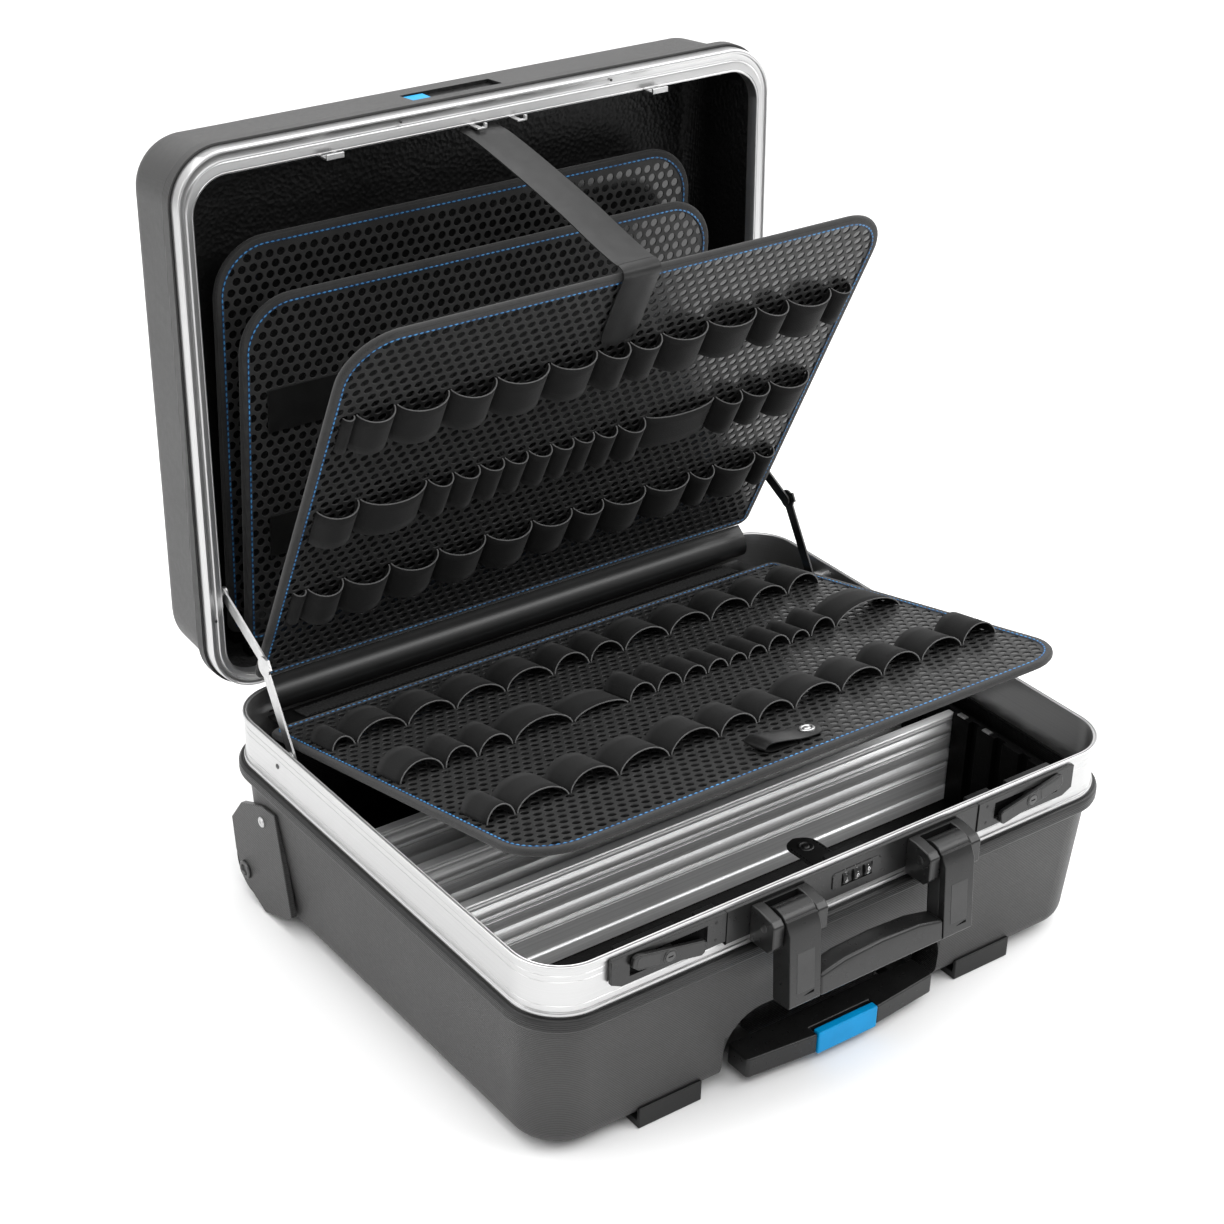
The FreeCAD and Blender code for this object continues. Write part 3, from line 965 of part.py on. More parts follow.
# Combination lock in the middle: a strip, three dials on a shaft and a cover behind
strip = box("strip_solid", ("-strip_half", "strip_half"), ("-strip_face", "-(%s)" % half_y),
            ("strip_low", "bezel_high"))
strip_back = box("strip_back", ("-strip_half", "strip_half"), ("-(%s)" % half_y, "-(%s)" % main_deep),
                 ("strip_low", "rim_height - bead_height"))
slots = [box("dial_room", ("-combo_half", "combo_half"), ("-(%s)" % half_y, "-(%s) + overrun" % main_deep),
             ("dial_z - dial_radius - dial_play", "dial_z + dial_radius + dial_play"))]
for k, step in enumerate((-1, 0, 1)):
    mid = "%d * dial_pitch" % step
    slots.append(box("dial_slot_%d" % k, ("%s - dial_thick / 2 - dial_play" % mid,
                                          "%s + dial_thick / 2 + dial_play" % mid),
                     ("-strip_face - overrun", "-(%s) + overrun" % main_deep),
                     ("dial_z - dial_radius - dial_play", "dial_z + dial_radius + dial_play")))
dial_y = "-strip_face - dial_proud + dial_radius"
node(cut("strip_cut", fuse("strip_fuse", strip, strip_back), *slots), "front_strip")
for k, step in enumerate((-1, 0, 1)):
    start = "%d * dial_pitch - dial_thick / 2" % step
    wheel = rod("dial_solid_%d" % k, "x", "dial_radius", (start, dial_y, "dial_z"), "dial_thick")
    bore = rod("dial_bore_%d" % k, "x", "dial_shaft + pin_play", ("%s - overrun" % start, dial_y, "dial_z"),
               "dial_thick + 2 * overrun")
    node(cut("dial_%d" % k, wheel, bore), "number_dial_%d" % (k + 1))
cover = box("combo_cover_solid", ("-combo_half", "combo_half"),
            ("-(%s)" % wall_deep, "-(%s) + combo_depth" % wall_deep),
            ("lock_box_low", "lock_box_high"))
room = box("combo_room", ("-combo_half + shell_wall", "combo_half - shell_wall"),
           ("-(%s) - overrun" % wall_deep, "-(%s) + combo_depth - shell_wall" % wall_deep),
           ("dial_z - dial_radius - dial_play", "dial_z + dial_radius + dial_play"))
combo_cover = cut("combo_cover_cut", cover, room)
shaft_half = "combo_half - dial_play"
shaft = rod("dial_shaft_solid", "x", "dial_shaft", ("-(%s)" % shaft_half, dial_y, "dial_z"),
            "2 * (%s)" % shaft_half)
posts = []
for k, sign in enumerate(("-", "")):
    ends = ("combo_half - shell_wall + dial_play", "combo_half - dial_play")
    span = ends if not sign else ("-(%s)" % ends[1], "-(%s)" % ends[0])
    posts.append(box("dial_post_%d" % k, span, ("%s - dial_shaft" % dial_y, "-(%s)" % wall_deep),
                     ("dial_z - dial_shaft", "dial_z + dial_shaft")))
node(fuse("combo_frame", combo_cover, shaft, *posts), "combination_frame")

# Carrying handle: two brackets, pins, and one piece with two arms and a grip
brackets, handle_pins = [], []
for side, sign in (("left", -1), ("right", 1)):
    def span(lo, hi):
        return (lo, hi) if sign > 0 else ("-(%s)" % hi, "-(%s)" % lo)
    outer = box("bracket_solid_" + side, span("bracket_x - bracket_half", "bracket_x + bracket_half"),
                ("-bracket_face", "-strip_face"), ("bracket_low", "bracket_top"))
    gap = box("bracket_gap_" + side, span("bracket_x - bracket_gap_half", "bracket_x + bracket_gap_half"),
              ("-bracket_face - overrun", "-strip_face - bracket_web"), ("bracket_low - overrun",
                      "bracket_top + overrun"))
    pin_hole = rod("bracket_pin_hole_" + side, "x", "swing_pin",
                   ("%s - overrun" % span("bracket_x - bracket_half",
                                          "")[0] if sign > 0 else "-(bracket_x + bracket_half) - overrun",
                    "-swing_y", "swing_z"), "2 * bracket_half + 2 * overrun")
    brackets.append(cut("bracket_cut_" + side, outer, gap, pin_hole))
    handle_pins.append(rod("swing_pin_" + side, "x", "swing_pin",
                           ("bracket_x - bracket_half" if sign > 0 else "-(bracket_x + bracket_half)",
                            "-swing_y", "swing_z"),
                           "2 * bracket_half"))
node(group("brackets_group", *brackets), "handle_brackets")
node(group("handle_pins_group", *handle_pins), "handle_pins")
arms = []
arm_long = "(swing_z - arm_low) / cos(arm_lean)"
for side, sign in (("left", -1), ("right", 1)):
    start = "%sbracket_x - arm_half" % ("-" if sign < 0 else "")
    knuckle = rod("arm_knuckle_" + side, "x", "arm_knuckle", (start, "0", "0"), "2 * arm_half")
    shank = prism("arm_shank_" + side, "yz",
                  [("-arm_knuckle", "arm_knuckle / 2"), ("-arm_front", "-arm_knuckle / 3"),
                   ("-arm_front", "-(%s)" % arm_long),
                   ("arm_depth - arm_front", "-(%s)" % arm_long), ("arm_depth - arm_front",
                           "-arm_knuckle / 3"), ("0", "0")],
                  "2 * arm_half")
    rounded(shank, "arm_round", lambda e: runs("x")(e) and e.Vertexes[0].Point.z < -0.5 * value(arm_long),
            "arm_foot_" + side)
    place(shank, start)
    bore = rod("arm_bore_" + side, "x", "swing_pin + swing_play", ("%s - overrun" % start, "0", "0"),
               "2 * arm_half + 2 * overrun")
    arms.append(cut("arm_" + side, fuse("arm_fuse_" + side, knuckle, shank), bore))
handle_arms = group("handle_arms_group", *arms)
handle_arms.Placement = FreeCAD.Placement(FreeCAD.Vector(), LEAN)
bind(handle_arms, "Placement.Rotation.Angle", "-arm_lean")
place(handle_arms, "0", "-swing_y", "swing_z")
node(handle_arms, "handle_arms")
inner = "bracket_x - arm_half"
grip_points = [("-(%s)" % inner, "-(%s)" % arm_long), (inner, "-(%s)" % arm_long),
               (inner, "-(%s) + grip_bar_high - grip_bar_crown" % arm_long),
               ("(%s) * 0.6" % inner, "-(%s) + grip_bar_high - grip_bar_crown / 4" % arm_long),
               ("0", "-(%s) + grip_bar_high" % arm_long),
               ("-(%s) * 0.6" % inner, "-(%s) + grip_bar_high - grip_bar_crown / 4" % arm_long),
               ("-(%s)" % inner, "-(%s) + grip_bar_high - grip_bar_crown" % arm_long)]
bar = prism("handle_grip_body", "xz", grip_points, "arm_depth")
rounded(bar, "arm_round",
        lambda e: abs(e.Vertexes[0].Point.z - e.Vertexes[-1].Point.z) < value("grip_bar_crown")
        and not runs("y")(e), "handle_grip_round")
place(bar, "0", "arm_depth - arm_front")
handle_bar = group("handle_bar_group", bar)
handle_bar.Placement = FreeCAD.Placement(FreeCAD.Vector(), LEAN)
bind(handle_bar, "Placement.Rotation.Angle", "-arm_lean")
place(handle_bar, "0", "-swing_y", "swing_z")
node(handle_bar, "handle_grip")

# Snap strap on the front wall, its button and the loop tab on the base board
snap = box("snap_solid", ("-snap_half", "snap_half"),
           ("-(%s) + combo_depth" % wall_deep, "-(%s) + snap_reach - snap_half" % wall_deep),
           ("snap_height - snap_thick", "snap_height"))
snap_end = rod("snap_end", "z", "snap_half", ("0", "-(%s) + snap_reach - snap_half" % wall_deep,
                                              "snap_height - snap_thick"), "snap_thick")
socket = (rod("snap_socket_solid", "z", "snap_button",
              ("0", "-(%s) + snap_reach - snap_half" % wall_deep, "snap_height"), "snap_rise"))
node(group("snap_group", fuse("snap_fuse", snap, snap_end), socket), "snap_strap")
tab = box("tab_solid", ("-tab_half", "tab_half"), ("base_long * 0.85",
                                                   "base_long - binding_width - board_gap"),
          ("-board_thick / 2 - snap_thick", "-board_thick / 2"))
stud = rod("tab_stud", "z", "snap_button", ("0", "base_long * 0.9",
                                            "-board_thick / 2 - snap_thick - snap_rise"), "snap_rise")
node(set_at(group("tab_group", tab, stud), "base_y", "base_z", base_angle), "base_board_tab")

# Board strap: its hanging run from the lid, and its tab over the front board's far edge
tab_face = box("strap_face", ("-strap_half", "strap_half"),
               ("front_long * (1 - strap_end_share)", "front_long - binding_width - board_gap"),
               ("board_thick / 2 + board_gap / 3", "board_thick / 2 + board_gap / 3 + strap_thick"))
tab_over = box("strap_over", ("-strap_half", "strap_half"),
               ("front_long - 2 * binding_width", "front_long + board_gap + strap_thick"),
               ("binding_thick / 2 + board_gap / 3", "binding_thick / 2 + board_gap / 3 + strap_thick"))
tab_edge = box("strap_edge", ("-strap_half", "strap_half"),
               ("front_long + board_gap", "front_long + board_gap + strap_thick"),
               ("-binding_thick / 2", "binding_thick / 2 + board_gap / 3 + strap_thick"))
node(set_at(fuse("strap_tab_fuse", tab_face, tab_over, tab_edge), "front_y", "front_z", front_angle),
     "strap_tab")
end_y = "front_y - front_long * sin(front_lean)"
end_z = "front_z + front_long * cos(front_lean)"
run_points = [("strap_top_y", "strap_top_z"), ("strap_top_y", "strap_top_z - strap_thick"),
              ("(strap_top_y + %s) / 2" % end_y, "(strap_top_z + %s) / 2 - 2 * strap_thick" % end_z),
              ("%s + 2 * strap_thick" % end_y, "%s + 3 * strap_thick / 2" % end_z),
              ("%s + 2 * strap_thick" % end_y, "%s + 5 * strap_thick / 2" % end_z),
              ("(strap_top_y + %s) / 2" % end_y, "(strap_top_z + %s) / 2 - strap_thick" % end_z)]
run = prism("strap_run_body", "yz", run_points, "2 * strap_half")
place(run, "strap_lid_x / 2 - strap_half")
node(run, "strap_run")

doc.recompute()
problems = []
for thing in doc.Objects:
    if any(mark in ("Invalid", "Error") for mark in thing.State):
        problems.append("%s %s" % (thing.Name, thing.State))
for thing in NODES:
    if thing.Shape.isNull() or not thing.Shape.isValid() or not thing.Shape.Solids:
        problems.append("%s has no valid shape" % thing.Label)
if problems:
    raise RuntimeError("; ".join(problems))

os.makedirs("parts", exist_ok=True)
for thing in NODES:
    thing.Shape.exportStep(os.path.join("parts", thing.Label + ".step"))
    bounds = thing.Shape.BoundBox
    print("%-26s %2d solids x %7.1f %7.1f  y %7.1f %7.1f  z %7.1f %7.1f  %9.0f mm3" % (
        thing.Label, len(thing.Shape.Solids), bounds.XMin, bounds.XMax, bounds.YMin, bounds.YMax, bounds.ZMin,
        bounds.ZMax, thing.Shape.Volume))
print(len(NODES), "sub-parts")
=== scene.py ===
import json
import math
import random

import bmesh
import bpy
from mathutils import Matrix, Vector

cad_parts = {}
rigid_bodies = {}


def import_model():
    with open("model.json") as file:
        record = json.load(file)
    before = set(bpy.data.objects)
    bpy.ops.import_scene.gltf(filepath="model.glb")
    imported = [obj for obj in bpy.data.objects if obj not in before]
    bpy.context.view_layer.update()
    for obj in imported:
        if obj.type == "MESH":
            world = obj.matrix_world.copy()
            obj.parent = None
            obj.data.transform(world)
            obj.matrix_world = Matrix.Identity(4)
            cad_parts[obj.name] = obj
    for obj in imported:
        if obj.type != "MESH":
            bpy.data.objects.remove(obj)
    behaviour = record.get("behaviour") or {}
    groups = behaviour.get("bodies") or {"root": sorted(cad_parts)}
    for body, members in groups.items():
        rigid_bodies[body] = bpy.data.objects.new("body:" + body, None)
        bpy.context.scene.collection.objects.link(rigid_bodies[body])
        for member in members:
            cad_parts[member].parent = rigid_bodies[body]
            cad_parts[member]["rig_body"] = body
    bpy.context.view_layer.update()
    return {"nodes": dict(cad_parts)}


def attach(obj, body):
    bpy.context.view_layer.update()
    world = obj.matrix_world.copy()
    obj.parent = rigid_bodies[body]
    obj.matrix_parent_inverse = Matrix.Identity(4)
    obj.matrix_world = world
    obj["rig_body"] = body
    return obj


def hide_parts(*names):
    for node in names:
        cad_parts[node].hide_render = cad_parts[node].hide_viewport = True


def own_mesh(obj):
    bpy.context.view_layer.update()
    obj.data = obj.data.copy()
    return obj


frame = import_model()
random.seed(7)
MM = 0.001

# Places are millimetres from the floor under the middle of the base frame. Each piece made here is then
# moved by BACK into the row's frame.
BACK = 36.616

# Outline of both frames, and the lid's hinge
HALF = 245
DEPTH = 195
CORNER = 37
HINGE_Y = 197.8
HINGE_Z = 149.6
LID_OPEN = 92.7


# Material nodes

def add_node(tree, kind, **inputs):
    """A node whose inputs are set to values or linked to the outputs of other nodes."""
    node = tree.nodes.new(kind)
    for key, value in inputs.items():
        socket = node.inputs[key.replace("_", " ")]
        if isinstance(value, bpy.types.NodeSocket):
            tree.links.new(value, socket)
        else:
            socket.default_value = value
    return node


class Look:
    """A procedural material; coordinates are metres in the rest frame."""

    def __init__(self, name, color, rough, metal=0.0):
        self.material = bpy.data.materials.new(name)
        self.material.use_nodes = True
        self.tree = self.material.node_tree
        self.shader = self.tree.nodes["Principled BSDF"]
        self.shader.inputs["Base Color"].default_value = (*color, 1)
        self.shader.inputs["Roughness"].default_value = rough
        self.shader.inputs["Metallic"].default_value = metal
        self.where = self.add("ShaderNodeTexCoord").outputs["Object"]
        self.uv = self.where.node.outputs["UV"]
        self.normal = self.where.node.outputs["Normal"]
        self.last_bump = None

    def add(self, kind, **inputs):
        return add_node(self.tree, kind, **inputs)

    def link(self, a, b):
        self.tree.links.new(a, b)

    def set(self, **values):
        for key, value in values.items():
            self.shader.inputs[key.replace("_", " ")].default_value = value
        return self

    def noise(self, size, detail=3.0, stretch=None, source=None, rough=0.5):
        """Noise whose features are size metres."""
        source = source or self.where
        if stretch:
            source = self.add("ShaderNodeMapping", Vector=source, Scale=stretch).outputs["Vector"]
        node = self.add("ShaderNodeTexNoise", Vector=source, Scale=1 / size, Detail=detail, Roughness=rough)
        return node.outputs["Fac"]

    def cells(self, size):
        return self.add("ShaderNodeTexVoronoi", Vector=self.where, Scale=1 / size).outputs["Distance"]

    def bands(self, period, axis, distortion=0.0):
        node = self.add("ShaderNodeTexWave", Vector=self.where, Scale=math.pi / 10 / period,
                        Distortion=distortion, Detail_Scale=1.0)
        node.bands_direction = axis
        return node.outputs["Fac"]

    def math(self, kind, a, b):
        node = self.add("ShaderNodeMath")
        node.operation = kind
        for socket, value in zip(node.inputs, (a, b)):
            if isinstance(value, (int, float)):
                socket.default_value = value
            else:
                self.link(value, socket)
        return node.outputs["Value"]

    def times(self, a, b):
        return self.math("MULTIPLY", a, b)

    def opposite(self, value):
        return self.math("SUBTRACT", 1.0, value)

    def tint(self, fac, dark, light, low=0.3, high=0.7):
        """Colour between two tints."""
        node = self.add("ShaderNodeValToRGB", Fac=fac)
        for element, spot, color in zip(node.color_ramp.elements, (low, high), (dark, light)):
            element.position = spot
            element.color = (*color, 1)
        self.link(node.outputs["Color"], self.shader.inputs["Base Color"])
        return self

    def gloss(self, fac, low, high):
        """Roughness between two values."""
        node = self.add("ShaderNodeMapRange", Value=fac, To_Min=low, To_Max=high)
        self.link(node.outputs["Result"], self.shader.inputs["Roughness"])
        return self

    def outward(self, centre):
        """1 where the surface faces away from a centre and 0 where it faces the centre."""
        away = self.add("ShaderNodeVectorMath")
        away.operation = "SUBTRACT"
        self.link(self.where, away.inputs[0])
        away.inputs[1].default_value = centre
        dot = self.add("ShaderNodeVectorMath")
        dot.operation = "DOT_PRODUCT"
        self.link(away.outputs["Vector"], dot.inputs[0])
        self.link(self.normal, dot.inputs[1])
        return self.math("GREATER_THAN", dot.outputs["Value"], 0.0)

    def sideways(self):
        """1 where the surface doesn't face the front."""
        parts = self.add("ShaderNodeSeparateXYZ", Vector=self.normal)
        return self.math("GREATER_THAN", parts.outputs["Y"], -0.6)

    def within(self, low, high):
        """1 inside a box."""
        parts = self.add("ShaderNodeSeparateXYZ", Vector=self.where)
        out = 1.0
        for k in range(3):
            out = self.times(self.math("GREATER_THAN", parts.outputs[k], low[k]), out)
            out = self.times(self.math("LESS_THAN", parts.outputs[k], high[k]), out)
        return out

    def darken(self, keep, dark):
        """The colour where keep is 1, and the dark tint where it is 0."""
        socket = self.shader.inputs["Base Color"]
        node = self.add("ShaderNodeMix")
        node.data_type = "RGBA"
        self.link(keep, node.inputs[0])
        node.inputs[6].default_value = (*dark, 1)
        self.link(socket.links[0].from_socket, node.inputs[7])
        self.link(node.outputs[2], socket)
        return self

    def bump(self, height, depth, strength=1.0):
        """Relief of depth metres."""
        node = self.add("ShaderNodeBump", Height=height, Distance=depth, Strength=strength)
        if self.last_bump:
            self.link(self.last_bump, node.inputs["Normal"])
        self.last_bump = node.outputs["Normal"]
        self.link(self.last_bump, self.shader.inputs["Normal"])
        return self


def grey(v, warm=0.0):
    return (v * (1 + warm), v, v * (1 - warm))


def shell_look(name, axis, centre=None, pit=None, rim=None):
    """Moulded shell: fine ribs and grain outside, near black inside and along the rim, and painted shade in
    the pit.
    """
    look = Look(name, grey(0.06), 0.45).set(Specular_IOR_Level=0.4)
    look.tint(look.noise(0.06, 4), grey(0.034, 0.01), grey(0.041, 0.01))
    if rim:
        look.darken(look.opposite(look.within(*rim)), grey(0.008))
    if centre:
        keep = look.outward(centre)
        # the pit and its side walls join the near-black part as painted shade
        if pit:
            (x0, y0, z0), (x1, y1, z1) = pit
            around = look.within((x0 - 0.006, y0 - 0.004, z0), (x1 + 0.006, y1, z1 + 0.006))
            walls = look.times(around, look.sideways())
            pit_painted_shade = look.math("MAXIMUM", look.within(*pit), walls)
            keep = look.times(keep, look.opposite(pit_painted_shade))
        look.darken(keep, grey(0.004))
        look.bump(look.times(look.cells(0.0032), look.opposite(keep)), 0.0006, 0.8)
    look.gloss(look.noise(0.004, 3), 0.38, 0.5)
    look.bump(look.bands(0.0015, axis, 0.5), 0.00022, 0.9)
    look.bump(look.cells(0.0008), 0.00007, 0.7)
    return look.material


def brushed_look(name, value, along, rough, metal=1.0, depth=0.00003, strength=0.35, on_uv=False):
    """Metal with fine streaks."""
    look = Look(name, grey(value), 0.28, metal)
    streak = look.noise(1.0, 4, along, look.uv if on_uv else look.where, 0.65)
    look.tint(streak, grey(value * 0.86), grey(value), 0.35, 0.65)
    look.gloss(streak, *rough)
    look.bump(streak, depth, strength)
    return look.material


def plastic_look(name, value, rough=(0.3, 0.44), grain=0.0006, depth=0.00003, spec=0.5, tints=None):
    look = Look(name, grey(value), 0.4).set(Specular_IOR_Level=spec)
    look.tint(look.noise(0.02, 3), *(tints or (grey(value * 0.85), grey(value * 1.15))))
    look.gloss(look.noise(0.003, 3), *rough)
    look.bump(look.cells(grain), depth, 0.6)
    return look.material


def weave_look(name, dark, light, period, depth, sheen):
    look = Look(name, grey(light), 0.85)
    look.set(Sheen_Weight=sheen, Sheen_Roughness=0.5, Specular_IOR_Level=0.2)
    cloth = look.math("MAXIMUM", look.bands(period, "X"), look.bands(period, "Y"))
    wear = look.times(look.noise(0.004, 4), 0.5)
    look.tint(look.math("ADD", look.times(cloth, 0.6), wear), grey(dark), grey(light), 0.25, 0.85)
    look.bump(cloth, depth, 0.7)
    look.bump(look.noise(0.0005, 2), depth, 0.5)
    return look.material


def leather_look(name, dark, light, rough, grain=1.0, spec=0.4):
    look = Look(name, grey(light), rough[0]).set(Specular_IOR_Level=spec)
    look.tint(look.noise(0.012, 5), grey(dark), grey(light))
    look.gloss(look.noise(0.004, 4), *rough)
    look.bump(look.cells(0.0009), 0.00006 * grain, 0.5)
    look.bump(look.noise(0.00035, 2), 0.00003 * grain, 0.5)
    return look.material


def cell_look():
    """Glossy black floor of the boards' holes."""
    look = Look("board_cell", grey(0.003), 0.2).set(Specular_IOR_Level=0.62, IOR=1.6)
    look.tint(look.noise(0.05, 3), grey(0.002), grey(0.004))
    look.gloss(look.noise(0.01, 2), 0.14, 0.26)
    return look.material


def hook_look():
    look = Look("hook_strip", grey(0.004), 0.85).set(Sheen_Weight=0.05, Specular_IOR_Level=0.15)
    fuzz = look.noise(0.0012, 3)
    look.tint(fuzz, grey(0.001), grey(0.02), 0.45, 0.75)
    look.bump(fuzz, 0.0006, 1.0)
    return look.material


# The pit box of the base shell is the recess, darkened as painted shade.
SHELL = shell_look("shell_grained", "Z", (0, -BACK * MM, 0.075),
                   pit=((-0.0952, -0.2251, 0), (0.0952, -0.18, 0.0577)),
                   rim=((-0.3, -0.3, 0.1105), (0.3, 0.3, 0.2)))
LID_SHELL = shell_look("lid_shell_grained", "Y", (0, 0.2109, 0.3453),
                       rim=((-0.3, 0.15, 0.05), (0.3, 0.1895, 0.7)))
HOUSING = shell_look("housing_grained", "Z")
EVEN = (200, 200, 200)
ALU = brushed_look("aluminium_brushed_round", 0.56, (4, 2600, 1), (0.24, 0.38), 0.9, on_uv=True)
ALU_BAR = brushed_look("aluminium_divider", 0.97, (1.2, 700, 700), (0.3, 0.42), 0.5, 0.00012, 0.8)
TUBE = brushed_look("aluminium_tube", 0.3, (700, 3, 700), (0.24, 0.34))
STEEL = brushed_look("steel_plated", 0.55, EVEN, (0.3, 0.42))
# Black steel for rivets, caps, bolt heads and key cylinders; on the right stays, which match the bright left
# ones, it is painted shade.
DARK_STEEL_AND_SHADE = brushed_look("steel_black_and_painted_shade", 0.1, EVEN, (0.3, 0.45))
BLACK = plastic_look("plastic_black", 0.007, (0.3, 0.42), spec=0.3)
SATIN = plastic_look("plastic_satin_grey", 0.009, (0.24, 0.34), spec=0.4)
PAD = plastic_look("plastic_pad_grey", 0.018, (0.42, 0.52), 0.0004, 0.00004)
LINER = plastic_look("plastic_liner", 0.002, (0.4, 0.55), 0.0018, 0.00012, 0.12)
# Near-black matte sheets: painted shade in the bezel pockets and the arm slits, and the dark joint lines of
# the bezels.
SHADE_AND_JOINT_BLACK = plastic_look("recess_shade_and_joint_black", 0.001, (0.6, 0.7), spec=0.05)
TYRE = plastic_look("rubber_tyre", 0.009, (0.6, 0.75), 0.001, 0.00006, 0.25)
WEB = plastic_look("board_web", 0.024, (0.42, 0.56), 0.0005, 0.00004, 0.25)
CELL = cell_look()
BINDING = weave_look("binding_woven", 0.012, 0.03, 0.0007, 0.0001, 0.14)
ELASTIC = weave_look("elastic_woven", 0.0035, 0.0075, 0.0009, 0.0001, 0.04)
# Much lighter weave on the loops' cut edges: a painted highlight.
ELASTIC_EDGE_HIGHLIGHT = weave_look("elastic_edge_painted_highlight", 0.06, 0.13, 0.0006, 0.00006, 0.25)
STRAP = leather_look("strap_leather", 0.013, 0.02, (0.3, 0.42), 1.0, 0.2)
ROLL = leather_look("spine_leather", 0.006, 0.009, (0.26, 0.32), 0.35)
TAB = leather_look("tab_leather", 0.004, 0.008, (0.3, 0.42))
THREAD_BED = plastic_look("thread_bed", 0.02, (0.5, 0.6), tints=((0.001, 0.006, 0.025), (0.003, 0.015, 0.05)))
THREAD_BLUE = plastic_look("thread_blue", 0.1, (0.5, 0.6), tints=((0.014, 0.1, 0.25), (0.06, 0.27, 0.55)))
THREAD_DARK = plastic_look("thread_dark", 0.002, (0.5, 0.7), spec=0.1)
WHITE = plastic_look("dial_numbers", 0.75, (0.4, 0.5))
BLUE = plastic_look("plastic_blue", 0.3, (0.3, 0.4), spec=0.2, tints=((0.0, 0.26, 0.58), (0.0, 0.3, 0.66)))
HOOK = hook_look()


# Mesh making

def place(name, data):
    """Some data as an object of the scene."""
    obj = bpy.data.objects.new(name, data)
    bpy.context.scene.collection.objects.link(obj)
    return obj


def worked_out(obj):
    """The mesh of an object after its modifiers, or of its letters."""
    bpy.context.view_layer.update()
    return bpy.data.meshes.new_from_object(obj.evaluated_get(bpy.context.evaluated_depsgraph_get()))


def mesh(name, verts, faces, materials, slots=None, smooth=True, uvs=None):
    """A piece from points in millimetres."""
    data = bpy.data.meshes.new(name)
    data.from_pydata([(x * MM, y * MM, z * MM) for x, y, z in verts], [], faces)
    for m in materials:
        data.materials.append(m)
    if slots:
        data.polygons.foreach_set("material_index", slots)
    if uvs:
        layer = data.uv_layers.new(name="UVMap")
        layer.data.foreach_set("uv", [value for face in uvs for uv in face for value in uv])
    data.update()
    obj = place(name, data)
    if smooth:
        shade(obj)
    return obj


def shade(obj, degrees=35):
    """Smooth shading with creases over the given angle."""
    for polygon in obj.data.polygons:
        polygon.use_smooth = True
    bm = bmesh.new()
    bm.from_mesh(obj.data)
    limit = math.radians(degrees)
    for edge in bm.edges:
        if len(edge.link_faces) == 2:
            edge.smooth = edge.calc_face_angle(math.pi) < limit
    bm.to_mesh(obj.data)
    bm.free()


def fix_normals(obj):
    bm = bmesh.new()
    bm.from_mesh(obj.data)
    bmesh.ops.recalc_face_normals(bm, faces=bm.faces)
    bm.to_mesh(obj.data)
    bm.free()


def first(index, node):
    """The node, for the first piece of a set that stands for it."""
    return (node,) if index == 0 else ()


def settle(obj, body, *nodes, slot=None, drawn=True, move=None):
    """Gives a piece to its body. A piece drawn here is first moved into the row's frame."""
    if move:
        obj.data.transform(move)
    if drawn:
        obj.data.transform(Matrix.Translation((0, -BACK * MM, 0)))
    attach(obj, body)
    if nodes:
        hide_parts(*nodes)
    return obj


def rounded_rect(half, near, far, r_near, r_far, inset, steps=14):
    """Points round a plate's outline, the same number for every inset."""
    points = []
    for cx, cy, radius, start in (
            (half, near, r_near, -90), (half, far, r_far, 0),
            (-half, far, r_far, 90), (-half, near, r_near, 180)):
        radius = max(radius, inset + 0.05)
        mx = cx - math.copysign(radius, cx)
        my = cy + radius if cy == near else cy - radius
        for k in range(steps + 1):
            a = math.radians(start + 90 * k / steps)
            points.append((mx + (radius - inset) * math.cos(a), my + (radius - inset) * math.sin(a)))
    return points


def swept_ring(name, rings, material):
    """Joins rings of equal length, each a list of 3-D points, into a closed band; v runs across, u along."""
    count = len(rings[0])
    verts = [p for ring in rings for p in ring]
    along = [0.0]
    for a, b in zip(rings[0], rings[0][1:] + rings[0][:1]):
        along.append(along[-1] + math.dist(a, b) * MM)
    faces, uvs = [], []
    across = 0.0
    for j, ring in enumerate(rings):
        k = (j + 1) % len(rings)
        past = across + math.dist(ring[0], rings[k][0]) * MM
        for i in range(count):
            n = (i + 1) % count
            faces.append((j * count + i, j * count + n, k * count + n, k * count + i))
            uvs.append(((along[i], across), (along[i + 1], across), (along[i + 1], past), (along[i], past)))
        across = past
    obj = mesh(name, verts, faces, [material], uvs=uvs)
    fix_normals(obj)
    return obj


def rim_band(name, profile, material):
    """A band round the frame's outline; the profile is pairs of inset and height."""
    rings = [[(x, y, z) for x, y in rounded_rect(HALF, -DEPTH, DEPTH, CORNER, CORNER, inset, 20)]
             for inset, z in profile]
    return swept_ring(name, rings, material)


def slab(x, y, z):
    """Corners and faces of a box between two places on each axis."""
    verts = [(a, b, c) for a in x for b in y for c in z]
    return verts, [(0, 1, 3, 2), (4, 6, 7, 5), (0, 4, 5, 1), (2, 3, 7, 6), (0, 2, 6, 4), (1, 5, 7, 3)]


def between(rows, count, start=0):
    """Faces between rings of points that follow one another."""
    faces = []
    for a in range(start, start + (rows - 1) * count, count):
        for i in range(count):
            n = (i + 1) % count
            faces.append((a + i, a + n, a + count + n, a + count + i))
    return faces


def closed(rows, count):
    """Faces between rings of points, and over both ends."""
    ends = [tuple(reversed(range(count))), tuple(range((rows - 1) * count, rows * count))]
    return between(rows, count) + ends


def plate(points, lo, hi, axis):
    """A polygon pushed along an axis; points are in the two other axes."""
    if axis == "x":
        verts = [(c, a, b) for c in (lo, hi) for a, b in points]
    else:
        verts = [(a, c, b) for c in (lo, hi) for a, b in points]
    return verts, closed(2, len(points))


